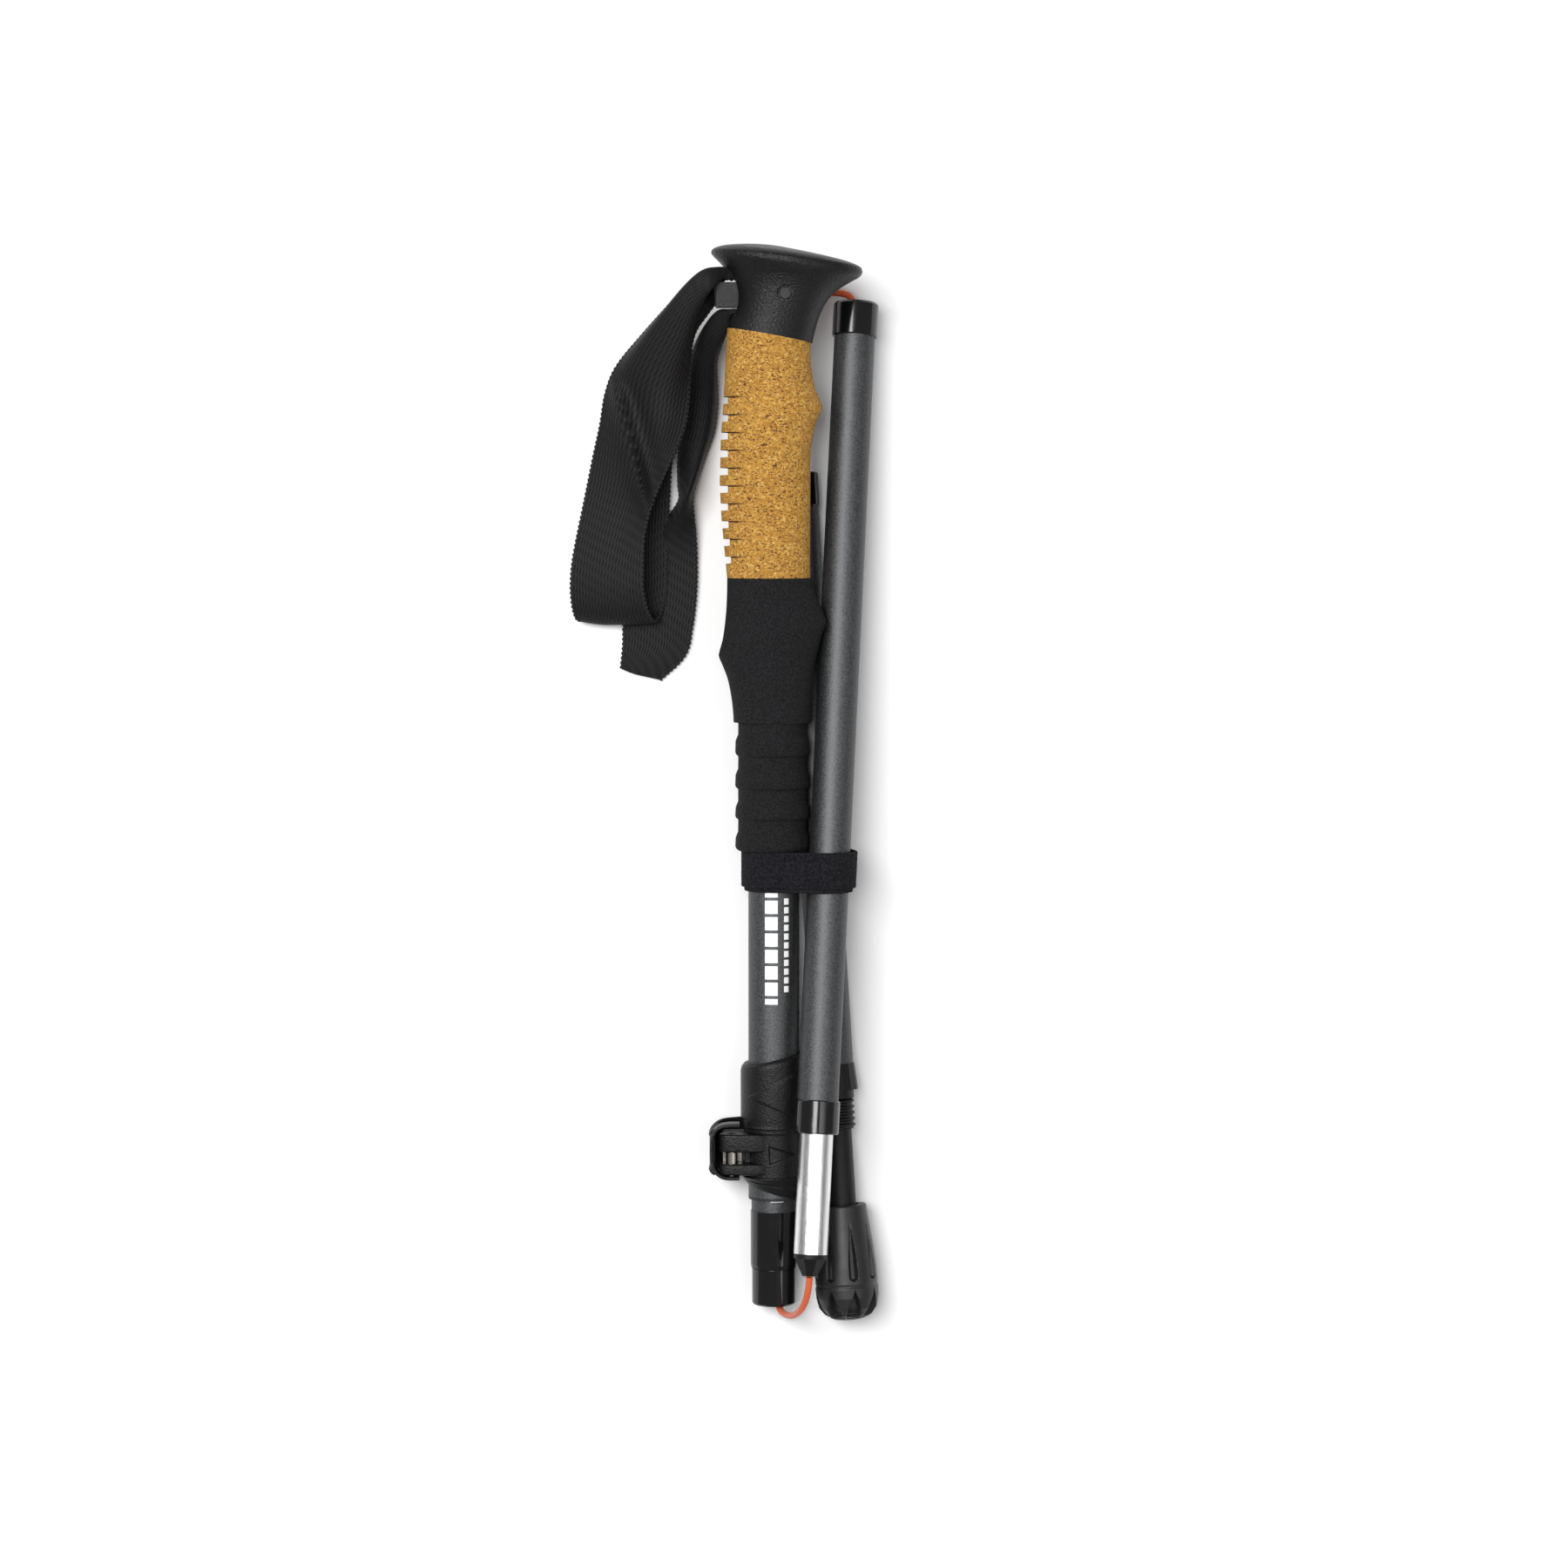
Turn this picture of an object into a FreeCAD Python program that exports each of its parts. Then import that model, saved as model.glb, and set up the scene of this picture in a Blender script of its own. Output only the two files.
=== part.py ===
"""A three-section folding trekking pole, folded and lying on the ground.

+Z is up and +Y runs along the folded pole towards the grip head. The origin is the middle
of the folded pole's underside. Each section is drawn in its own frame, whose Z is the
section's axis and whose -Y faces up, away from the ground. Sizes are in millimetres.
"""
import FreeCAD, Part
import math
import os
from FreeCAD import Placement, Rotation, Vector

# ---- driving dimensions ---------------------------------------------------------------

OUTER_R = 9.0            # outer shaft
OUTER_BORE = 8.4
INNER_R = 7.95           # telescoping inner shaft
INNER_BORE = 7.35
FOLD_R = 7.25            # tubes of the middle and lower sections
FOLD_BORE = 6.45
SPIGOT_R = 6.0
SPIGOT_BORE = 5.2
SOCKET_R = 6.06          # sockets that take the spigots
SLEEVE_R = 7.9
CAP_R = 8.05
CORD_R = 1.2             # elastic shock cord
CORD_HOLE = 1.5
SHEATH_R = 2.1           # clear sheath on the bare loops of the cord
CLEARANCE = 0.05         # radial clearance of parts that slide or turn
SOFT_GAP = 0.35          # gap between soft parts and their neighbours

PITCH = 0.0675           # rise of the handle and fall of the middle section per millimetre
HANDLE_ORIGIN = Vector(-3.6, -184.9, 10.1)      # mouth of the ferrule, on the handle's axis
MIDDLE_ORIGIN = Vector(8.9, -172.3, 34.7)       # tip of the middle section's cone
MIDDLE_LEAN = 0.049                             # sideways lean per millimetre along Y
LOWER_ORIGIN = Vector(23.1, -190.2, 11.45)      # end of the rubber foot
LOWER_LEAN = -0.0624
LOWER_PITCH = -0.0110

# stations along the handle, from the ferrule's mouth
FERRULE_STEP = 12.8
FERRULE_TOP = 33.7
CLAMP_BASE = 36.9
LEVER_LOW = 45.3
LEVER_HIGH = 66.0
CLAMP_TOP = 85.5
STRAP_LOW = 148.6
STRAP_HIGH = 161.8
FOAM_LOW = 162.4
FOAM_TOP = 258.0
CORK_TOP = 342.6
HEAD_RIM = 368.0
INNER_TOP = 310.0

# stations along the middle section, from the tip of its cone
CONE_LENGTH = 7.7
MIDDLE_SLEEVE = (49.7, 61.5)
MIDDLE_CAP = (332.5, 344.6)

# stations along the lower section, from the end of the rubber foot
FOOT_TOP = 40.6
THREADS = (67.6, 78.2)
BASKET_STOP = (81.4, 90.8)
LOWER_SLEEVE = (289.4, 301.5)
LOWER_LENGTH = 352.4

CLAMP_PIN = Vector(-14.9, -7.4, 0.0)            # lever pin, seen along the handle's axis
LEVER_IN = 11.0
LEVER_OUT = 12.75


# ---- frames and drawing helpers -------------------------------------------------------

def frame(origin, direction):
    """A placement whose Z runs along direction and whose -Y faces up."""
    along = Vector(direction).normalize()
    down = along.cross(Vector(1, 0, 0)).normalize()
    across = down.cross(along)
    return Placement(origin, Rotation(across, down, along, "ZXY"))


HANDLE = frame(HANDLE_ORIGIN, Vector(0, 1, PITCH))
MIDDLE = frame(MIDDLE_ORIGIN, Vector(MIDDLE_LEAN, 1, -PITCH * math.hypot(1, MIDDLE_LEAN)))
LOWER = frame(LOWER_ORIGIN, Vector(LOWER_LEAN, 1, LOWER_PITCH))


def rod(radius, low, high, x=0.0, y=0.0):
    return Part.makeCylinder(radius, high - low, Vector(x, y, low))


def tube(outer, bore, low, high):
    return rod(outer, low, high).cut(rod(bore, low - 1, high + 1))


def turned(outline):
    """The solid of revolution of an outline of (radius, station) points about Z."""
    points = [Vector(r, 0, z) for r, z in outline]
    face = Part.Face(Part.makePolygon(points + points[:1]))
    return face.revolve(Vector(0, 0, 0), Vector(0, 0, 1), 360)


def box(x, y, z):
    """A box from three (low, high) pairs."""
    sizes = [pair[1] - pair[0] for pair in (x, y, z)]
    return Part.makeBox(*sizes, Vector(x[0], y[0], z[0]))


def oval(left, right, depth, station, tilt=0.0, corner=2.0):
    """A closed oval across the axis. tilt lowers its right-hand end, per millimetre."""
    middle, half = (left + right) / 2, (right - left) / 2
    count = 16
    points = []
    for i in range(count):
        angle = 2 * math.pi * i / count
        c, s = math.cos(angle), math.sin(angle)
        x = middle + half * math.copysign(abs(c) ** (2 / corner), c)
        y = depth * math.copysign(abs(s) ** (2 / corner), s)
        points.append(Vector(x, y, station - tilt * x))
    curve = Part.BSplineCurve()
    curve.interpolate(points, PeriodicFlag=True)
    return Part.Wire(curve.toShape())


def loft(wires):
    return Part.makeLoft(wires, True, True)


def polygon_prism(points, low, high):
    face = Part.Face(Part.makePolygon([Vector(x, y, low) for x, y in points + points[:1]]))
    return face.extrude(Vector(0, 0, high - low))


def rounded_path(points):
    """Straight runs joined by tangent arcs, each as large as its two runs allow."""
    edges = []
    start = points[0]
    for before, corner, after in zip(points, points[1:], points[2:]):
        back, ahead = before - corner, after - corner
        turn = math.pi - back.getAngle(ahead)
        trim = 0.45 * min(back.Length, ahead.Length)
        back.normalize()
        ahead.normalize()
        radius = trim / math.tan(turn / 2)
        enter, leave = corner + back * trim, corner + ahead * trim
        inward = (back + ahead).normalize()
        middle = corner + inward * (radius / math.cos(turn / 2) - radius)
        edges.append(Part.LineSegment(start, enter).toShape())
        edges.append(Part.Arc(enter, middle, leave).toShape())
        start = leave
    edges.append(Part.LineSegment(start, points[-1]).toShape())
    return Part.Wire(edges)


def round_sweep(path, radius):
    first = path.Edges[0]
    direction = first.tangentAt(first.FirstParameter)
    ring = Part.Wire(Part.makeCircle(radius, first.valueAt(first.FirstParameter), direction))
    return path.makePipeShell([ring], True, True)


def ribbon(stations, thickness):
    """A band through pairs of edge points, each with the direction of its thickness."""
    wires = []
    for left, right, normal in stations:
        step = Vector(normal).normalize() * (thickness / 2)
        corners = [left - step, right - step, right + step, left + step]
        wires.append(Part.makePolygon(corners + corners[:1]))
    return Part.makeLoft(wires, True, True)


# ---- handle: head and grips ------------------------------------------------------------

HEAD_STEM_R = 7.2
HEAD_TILT = 0.175        # slope of the seam between the head and the cork
RIM_TILT = 0.10
STRAP_PIN_AT = (4.0, 356.9)
STRAP_PIN_R = 1.8
WEDGE_X = (-20.6, -3.0)
WEDGE_Y = (-4.0, 4.0)
WEDGE_Z = (352.6, 361.3)


def head_solid():
    """The flared grip head with its low dome, without the slot and the pin hole."""
    return loft([oval(-16.0, 13.5, 12.6, CORK_TOP, HEAD_TILT),
                 oval(-15.8, 14.4, 12.8, CORK_TOP + 3.0, 0.13),
                 oval(-15.0, 15.6, 13.0, 350.0, 0.08),
                 oval(-13.9, 17.4, 13.4, 353.4, 0.06),
                 oval(-13.6, 19.6, 13.9, 356.6, 0.06),
                 oval(-14.6, 22.4, 14.6, 360.0, 0.06),
                 oval(-16.8, 26.2, 15.7, 364.0, 0.08),
                 oval(-19.8, 29.6, 16.7, HEAD_RIM - 1.0, RIM_TILT),
                 oval(-21.4, 30.4, 17.0, HEAD_RIM + 1.0, RIM_TILT),
                 oval(-20.6, 29.4, 16.4, HEAD_RIM + 2.6, RIM_TILT),
                 oval(-17.6, 24.0, 13.2, HEAD_RIM + 4.6, 0.08),
                 oval(-12.5, 12.0, 7.5, HEAD_RIM + 6.2, 0.03)])


def pommel():
    body = head_solid()
    body = body.fuse(rod(HEAD_STEM_R, 322.0, CORK_TOP + 4))
    slot = box((-26, 7.5), (-5.2, 5.2), (349.6, 366.0))
    pin_hole = Part.makeCylinder(STRAP_PIN_R, 60, Vector(STRAP_PIN_AT[0], -30, STRAP_PIN_AT[1]),
                                 Vector(0, 1, 0))
    recess = Part.makeCylinder(2.9, 20, Vector(STRAP_PIN_AT[0], -32.9, STRAP_PIN_AT[1]),
                               Vector(0, 1, 0))
    return body.cut(slot).cut(pin_hole).cut(recess)


def strap_pin():
    return Part.makeCylinder(STRAP_PIN_R, 26.4, Vector(STRAP_PIN_AT[0], -13.2, STRAP_PIN_AT[1]),
                             Vector(0, 1, 0))


def strap_wedge():
    block = box(WEDGE_X, WEDGE_Y, WEDGE_Z)
    edges = [e for e in block.Edges if abs(e.CenterOfMass.x - WEDGE_X[0]) < 0.1]
    return block.makeFillet(0.8, edges)


def cork_grip():
    sections = [oval(-16.4, 13.0, 12.6, FOAM_TOP), oval(-17.9, 12.8, 12.6, 273.0),
                oval(-19.0, 12.7, 12.6, 291.0), oval(-18.3, 13.2, 12.6, 303.0),
                oval(-18.4, 14.6, 12.6, 311.0), oval(-18.3, 17.0, 12.6, 318.0),
                oval(-17.6, 14.2, 12.6, 326.0), oval(-16.6, 12.9, 12.6, 336.0),
                oval(-16.0, 13.5, 12.6, 345.5)]
    body = loft(sections)
    seam = box((-40, 40), (-40, 40), (0, 40))
    seam.Placement = Placement(Vector(0, 0, CORK_TOP - 0.02),
                               Rotation(Vector(0, 1, 0), math.degrees(math.atan(HEAD_TILT))))
    body = body.cut(seam)
    for i in range(9):
        low = FOAM_TOP + 5.2 + i * 6.15
        body = body.cut(box((-30, -15.9), (-9.5, 9.5), (low, low + 2.1)))
    return body.cut(rod(OUTER_R, FOAM_TOP - 1, CORK_TOP + 20))


def foam_grip():
    swell = loft([oval(-14.0, 13.2, 11.8, 207.6), oval(-15.0, 13.7, 11.8, 216.0),
                  oval(-17.4, 14.8, 11.8, 226.0), oval(-18.6, 16.0, 11.8, 232.0),
                  oval(-17.4, 17.4, 11.8, 242.0), oval(-16.8, 15.6, 12.2, 249.0),
                  oval(-16.4, 13.2, 12.6, FOAM_TOP)])
    ribs = rod(12.0, FOAM_LOW, 208.0, x=-0.7)
    for low in (162.9, 173.8, 185.2, 197.2):
        ribs = ribs.fuse(rod(13.05, low, low + 6.2, x=-0.7))
    return swell.fuse(ribs).cut(rod(OUTER_R, FOAM_LOW - 1, FOAM_TOP + 1))


# ---- handle: shaft and clamp ------------------------------------------------------------

def outer_shaft():
    return tube(OUTER_R, OUTER_BORE, CLAMP_BASE + 2.0, 338.0)


def shaft_plug():
    """Joins the head's stem to the top of the outer shaft."""
    return tube(OUTER_BORE, HEAD_STEM_R, 322.0, 338.0).fuse(rod(OUTER_BORE, 313.0, 322.0))


def shaft_bush():
    low = CLAMP_BASE + 1.0
    lip = tube(OUTER_R, INNER_R + CLEARANCE, low, CLAMP_BASE + 2.0)
    return lip.fuse(tube(OUTER_BORE, INNER_R + CLEARANCE, low, low + 24.0))


def clamp_collar():
    """Split plastic collar: tall skirt, waist under the lever, low skirt and two lugs."""
    body = turned([(OUTER_R, CLAMP_BASE + 2.0), (9.8, CLAMP_BASE + 2.0), (11.7, LEVER_LOW - 0.3),
                   (10.75, LEVER_LOW - 0.3), (10.75, LEVER_HIGH + 0.3), (12.0, LEVER_HIGH + 0.3),
                   (12.0, CLAMP_TOP - 1.5), (11.2, CLAMP_TOP), (OUTER_R, CLAMP_TOP)])
    top_cut = box((-40, 40), (-40, 40), (0, 40))
    top_cut.Placement = Placement(Vector(0, 0, CLAMP_TOP + 2.2),
                                  Rotation(Vector(0, 1, 0), math.degrees(math.atan(-0.25))))
    peak = tube(11.2, OUTER_R, CLAMP_TOP, CLAMP_TOP + 5).cut(top_cut)
    low, high = LEVER_LOW + 0.5, LEVER_HIGH - 4.5
    shoulder = box((-10.4, 2.0), (-10.9, 0.0), (low, high))
    lug_top = box((-18.2, -6.0), (-3.1, -0.5), (low, high))
    lug_back = box((-18.2, -6.0), (0.5, 4.0), (low, high))
    body = body.fuse(peak).fuse(shoulder).fuse(lug_top).fuse(lug_back)
    body = body.cut(rod(OUTER_R, 0, 120))
    split = box((-30, -4.0), (-0.5, 0.5), (CLAMP_BASE, LEVER_HIGH))
    gap = box((-20.0, -6.9), (-14.0, -3.1), (51.0, 55.6))
    screw_hole = Part.makeCylinder(1.6, 30, Vector(CLAMP_PIN.x, -20, 53.3), Vector(0, 1, 0))
    return body.cut(split).cut(gap).cut(screw_hole)


def clamp_pin():
    return rod(1.4, LEVER_LOW + 0.2, LEVER_HIGH - 4.4, CLAMP_PIN.x, CLAMP_PIN.y)


def clamp_screw():
    """Tension screw: a cross barrel round the pin and a shank through both lugs."""
    barrel = rod(2.1, 51.3, 55.3, CLAMP_PIN.x, CLAMP_PIN.y)
    shank = Part.makeCylinder(1.5, 13.0, Vector(CLAMP_PIN.x, CLAMP_PIN.y, 53.3), Vector(0, 1, 0))
    return barrel.fuse(shank).cut(rod(1.4, 40, 70, CLAMP_PIN.x, CLAMP_PIN.y))


def clamp_nut():
    nut = Part.makeCylinder(2.4, 1.8, Vector(CLAMP_PIN.x, 4.0, 53.3), Vector(0, 1, 0))
    slot = box((CLAMP_PIN.x - 0.4, CLAMP_PIN.x + 0.4), (5.1, 7.0), (49.0, 57.0))
    bore = Part.makeCylinder(1.5, 10, Vector(CLAMP_PIN.x, 0, 53.3), Vector(0, 1, 0))
    return nut.cut(slot).cut(bore)


def clamp_washer():
    """Bearing plate that the lever's cam lobes press on."""
    plate = box((-18.0, -11.4), (-3.5, -3.1), (46.4, 60.6))
    return plate.cut(Part.makeCylinder(1.6, 10, Vector(CLAMP_PIN.x, -8, 53.3), Vector(0, 1, 0)))


def lever_wall(offset):
    """The lever's outline across the axis, moved inwards by offset."""
    left = -22.8 + offset
    bulge = [(left + 0.6, -9.4), (left, -6.5), (left + 0.2, -1.0), (left + 1.8, 4.6),
             (left + 5.4, 9.6 - offset)]
    radius = LEVER_OUT - offset
    angles = [math.radians(230 + 10 * i) for i in range(6)]
    return bulge + [(radius * math.cos(a), -radius * math.sin(a)) for a in angles]


def clamp_lever():
    """Cam lever: two lobes on the pin and a shell that hugs the collar's back."""
    outer = lever_wall(0.0)
    inner = lever_wall(LEVER_OUT - LEVER_IN)
    shell = polygon_prism(outer + inner[::-1], LEVER_LOW, LEVER_HIGH)
    lobes = []
    for low, high in ((LEVER_LOW + 0.3, 50.7), (55.9, LEVER_HIGH - 4.7)):
        lobe = rod(3.85, low, high, CLAMP_PIN.x, CLAMP_PIN.y)
        web = box((-21.6, CLAMP_PIN.x), (-10.9, -6.4), (low, high))
        lobes.append(lobe.fuse(web))
    lever = shell.fuse(lobes[0]).fuse(lobes[1])
    return lever.cut(rod(1.4 + CLEARANCE, 0, 90, CLAMP_PIN.x, CLAMP_PIN.y))


# ---- inner shaft ------------------------------------------------------------------------

ANCHOR_STATION = 262.0


def inner_shaft():
    return tube(INNER_R, INNER_BORE, FERRULE_STEP + 0.4, INNER_TOP)


def inner_shaft_plug():
    head = tube(OUTER_BORE - CLEARANCE, 3.0, INNER_TOP, INNER_TOP + 2.0)
    return head.fuse(tube(INNER_BORE, 3.0, INNER_TOP - 10.0, INNER_TOP))


def ferrule_collar():
    return turned([(INNER_R, FERRULE_STEP + 0.4), (8.1, FERRULE_STEP + 0.4), (8.3, 14.6),
                   (8.3, FERRULE_TOP - 0.4), (8.1, FERRULE_TOP), (INNER_R, FERRULE_TOP)])


def ferrule_socket():
    return turned([(SOCKET_R + 0.5, 0.0), (7.4, 0.0), (7.8, 0.6), (7.8, FERRULE_STEP),
                   (INNER_BORE, FERRULE_STEP), (INNER_BORE, 52.0), (CORD_HOLE, 52.0),
                   (CORD_HOLE, 50.0), (SOCKET_R, 50.0), (SOCKET_R, 1.2)])


def upper_cord_anchor():
    hub = tube(INNER_BORE, CORD_R, ANCHOR_STATION, ANCHOR_STATION + 8.0)
    return hub.fuse(rod(3.0, ANCHOR_STATION + 8.0, ANCHOR_STATION + 11.0))


def shock_cord_upper():
    return rod(CORD_R, 8.0, ANCHOR_STATION + 8.0)


# ---- middle section ---------------------------------------------------------------------

def fold_tube(low, high):
    return tube(FOLD_R, FOLD_BORE, low, high)


def spigot(low, shoulder, high):
    """Bright spigot: from the cone's shoulder through the sleeve and into the tube."""
    outside = tube(SPIGOT_R, SPIGOT_BORE, low, high)
    return outside.fuse(tube(FOLD_BORE, SPIGOT_BORE, shoulder + 2.0, high))


def guide_cone(tip, base):
    """Eight-sided cone that guides a spigot into its socket, with a stem inside it."""
    sign = 1 if base > tip else -1

    def ring(radius, station):
        points = [Vector(radius * math.cos(math.pi * (i + 0.5) / 4),
                         radius * math.sin(math.pi * (i + 0.5) / 4), station) for i in range(8)]
        return Part.makePolygon(points + points[:1])

    cone = Part.makeLoft([ring(2.7, tip), ring(5.9, base - sign * 1.6)], True, True)
    collar = rod(5.9, *sorted((base - sign * 1.6, base)))
    stem = rod(SPIGOT_BORE, *sorted((base, base + sign * 6.0)))
    body = cone.fuse(collar).fuse(stem)
    hole = rod(CORD_HOLE, *sorted((tip - sign, base + sign * 7.0)))
    return body.cut(hole)


def sleeve(low, high):
    return turned([(FOLD_R, low + 1.6), (SPIGOT_R, low + 1.6), (SPIGOT_R, low),
                   (SLEEVE_R - 0.3, low), (SLEEVE_R, low + 0.4), (SLEEVE_R, high - 0.4),
                   (SLEEVE_R - 0.3, high), (FOLD_R, high)])


def middle_tube():
    return fold_tube(MIDDLE_SLEEVE[0] + 1.6, MIDDLE_CAP[1] - 1.0)


def middle_socket_cap():
    low, high = MIDDLE_CAP
    return turned([(FOLD_R, low), (CAP_R - 0.2, low), (CAP_R, low + 0.4), (CAP_R, high - 0.8),
                   (CAP_R - 0.6, high), (SOCKET_R + 0.5, high), (SOCKET_R, high - 1.0),
                   (SOCKET_R, high - 46.0), (FOLD_BORE, high - 46.0), (FOLD_BORE, high - 1.0),
                   (FOLD_R, high - 1.0)])


def shock_cord_middle():
    return rod(CORD_R, 0.6, MIDDLE_CAP[1] - 8.0)


# ---- lower section ----------------------------------------------------------------------

CONE_BASE = LOWER_LENGTH - CONE_LENGTH


def lower_tube():
    return fold_tube(BASKET_STOP[1] - 1.0, LOWER_SLEEVE[1] - 1.6)


def lower_sleeve():
    low, high = LOWER_SLEEVE
    return turned([(FOLD_R, low), (SLEEVE_R - 0.3, low), (SLEEVE_R, low + 0.4),
                   (SLEEVE_R, high - 0.4), (SLEEVE_R - 0.3, high), (SPIGOT_R, high),
                   (SPIGOT_R, high - 1.6), (FOLD_R, high - 1.6)])


def lower_spigot():
    outside = tube(SPIGOT_R, SPIGOT_BORE, LOWER_SLEEVE[0] - 22.0, CONE_BASE)
    inside = tube(FOLD_BORE, SPIGOT_BORE, LOWER_SLEEVE[0] - 22.0, LOWER_SLEEVE[1] - 2.0)
    return outside.fuse(inside)


def shock_cord_lower():
    return rod(CORD_R, 250.0, LOWER_LENGTH - 0.6)


def lower_cord_knot():
    """Bulky knot at the cord's end, held by a washer in the tube."""
    knot = Part.makeSphere(3.4, Vector(0, 0, 247.0))
    washer = tube(FOLD_BORE, CORD_HOLE, 250.0, 251.5)
    return knot.fuse(washer).cut(rod(CORD_R, 249.0, 260.0))


def basket_collar():
    """Flared stop for a basket, with sixteen flats round it."""
    low, high = BASKET_STOP

    def ring(radius, station):
        points = [Vector(radius * math.cos(math.pi * i / 8), radius * math.sin(math.pi * i / 8),
                         station) for i in range(16)]
        return Part.makePolygon(points + points[:1])

    body = Part.makeLoft([ring(8.35, low), ring(8.35, low + 0.8), ring(7.6, high)], True, True)
    return body.cut(rod(FOLD_R, high - 1.0, high + 1)).cut(rod(FOLD_BORE, low - 1, high))


def flex_tip():
    """Slim tip shaft with its threaded basket seat and the plug that fills the tube."""
    low, high = THREADS
    outline = [(0, 12.0), (4.3, 12.0), (5.15, 16.0), (5.15, low - 0.3), (6.0, low)]
    turns = 5
    pitch = (high - low) / turns
    for i in range(turns):
        start = low + i * pitch
        outline += [(6.0, start + 0.25 * pitch), (6.7, start + 0.5 * pitch),
                    (6.7, start + 0.7 * pitch), (6.0, start + 0.95 * pitch)]
    outline += [(6.75, high + 0.3), (6.75, BASKET_STOP[0]), (FOLD_BORE, BASKET_STOP[0]),
                (FOLD_BORE, BASKET_STOP[1] + 18.0), (0, BASKET_STOP[1] + 18.0)]
    return turned(outline).cut(rod(2.0, 11.0, 24.0))


def tip_insert():
    """Hard metal point with its socket shank."""
    return turned([(0, 7.2), (1.0, 7.2), (1.9, 8.6), (3.4, 12.0), (2.0, 12.0), (2.0, 24.0),
                   (0, 24.0)])


# ---- rubber foot ------------------------------------------------------------------------

FOOT_FLAT_R = 5.0
FOOT_R = 11.25
FLUTES = 8
FLUTE_PHASE = 31.0       # degrees from the section's X


def tip_protector():
    bore = SPIGOT_R - 0.75
    body = turned([(0, 0), (FOOT_FLAT_R, 0), (8.4, 1.6), (10.3, 4.2), (FOOT_R - 0.1, 8.0),
                   (FOOT_R, 11.8), (10.9, 12.6), (10.9, 19.0), (10.2, 27.0), (9.3, 34.0),
                   (8.7, 38.5), (8.6, FOOT_TOP), (bore, FOOT_TOP), (bore, 6.0), (0, 6.0)])
    for i in range(FLUTES):
        angle = 360 / FLUTES * i + FLUTE_PHASE
        flute = Part.makeCone(1.3, 0.9, 18.0, Vector(11.1, 0, 14.4), Vector(-0.09, 0, 1))
        flute.rotate(Vector(0, 0, 0), Vector(0, 0, 1), angle)
        body = body.cut(flute)
        notch = polygon_prism([(6.5, -0.5), (13, -2.0), (13, 2.0), (6.5, 0.5)], 3.0, 11.0)
        notch.rotate(Vector(0, 0, 0), Vector(0, 0, 1), angle)
        body = body.cut(notch)
    return body


# ---- soft parts -------------------------------------------------------------------------

WEBBING = 1.5
STRAP_THICK = 1.5


def band_station(left, right, height, normal=(0, 0, 1)):
    """One cross-line of the webbing: plan points of its edges, height and face normal."""
    return Vector(*left, height), Vector(*right, height), Vector(*normal)


def wrist_strap():
    """Front and back arms of the loop, joined by the bottom fold, and the free tail."""
    loop = [band_station((-25.0, 179.5), (-22.6, 175.5), 41.0, (0.2, 0.1, 1)),
            band_station((-39.0, 168.0), (-30.5, 163.5), 38.0, (0.3, 0.2, 1)),
            band_station((-53.0, 152.0), (-34.0, 150.0), 25.0, (0.3, 0.2, 1)),
            band_station((-64.5, 132.0), (-35.0, 128.0), 17.0, (0.1, 0.1, 1)),
            band_station((-69.0, 98.0), (-44.0, 96.0), 14.0),
            band_station((-76.0, 72.0), (-51.0, 70.0), 12.8),
            band_station((-73.5, 60.8), (-47.5, 61.2), 10.2, (0, -0.8, 0.6)),
            band_station((-72.5, 58.9), (-46.5, 59.6), 7.0, (0, -1, 0)),
            band_station((-71.0, 60.8), (-44.5, 61.4), 4.0, (0, -0.8, -0.6)),
            band_station((-67.0, 68.0), (-42.0, 69.0), 3.2, (0, 0, -1)),
            band_station((-67.0, 98.0), (-42.0, 98.0), 3.6, (0, 0, -1)),
            band_station((-62.0, 128.0), (-37.2, 127.0), 8.0, (0, 0.1, -1)),
            band_station((-51.5, 150.5), (-35.5, 146.0), 16.0, (-0.3, -0.2, -1)),
            band_station((-38.6, 164.0), (-30.0, 159.0), 24.0, (-0.3, -0.2, -1)),
            band_station((-25.6, 173.2), (-22.6, 168.8), 28.4, (-0.2, -0.1, -1))]
    tail = [band_station((-23.4, 164.6), (-22.6, 160.6), 29.0, (0.3, 0, 1)),
            band_station((-29.6, 156.5), (-25.0, 152.5), 20.0, (0.6, 0.2, 1)),
            band_station((-34.4, 138.0), (-24.4, 137.0), 7.0, (0.4, 0.2, 1)),
            band_station((-35.2, 122.0), (-25.0, 122.0), 2.2, (0.1, 0, 1)),
            band_station((-38.5, 104.0), (-31.5, 104.0), 1.3),
            band_station((-52.0, 84.0), (-31.0, 84.0), 1.1),
            band_station((-56.6, 62.0), (-31.8, 62.0), 1.1),
            band_station((-57.0, 46.0), (-38.0, 46.0), 1.1),
            band_station((-57.4, 40.4), (-44.2, 36.8), 1.1)]
    return Part.makeCompound([ribbon(loop, WEBBING), ribbon(tail, WEBBING)])


def hull_outline(circles, grow):
    """Outline of a tight band round circles given as (x, z, radius), grown outwards."""
    points = []
    for step in range(72):
        angle = 2 * math.pi * step / 72
        c, s = math.cos(angle), math.sin(angle)
        reach = max(circles, key=lambda k: k[0] * c + k[1] * s + k[2])
        points.append((reach[0] + (reach[2] + grow) * c, reach[1] + (reach[2] + grow) * s))
    return points


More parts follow.
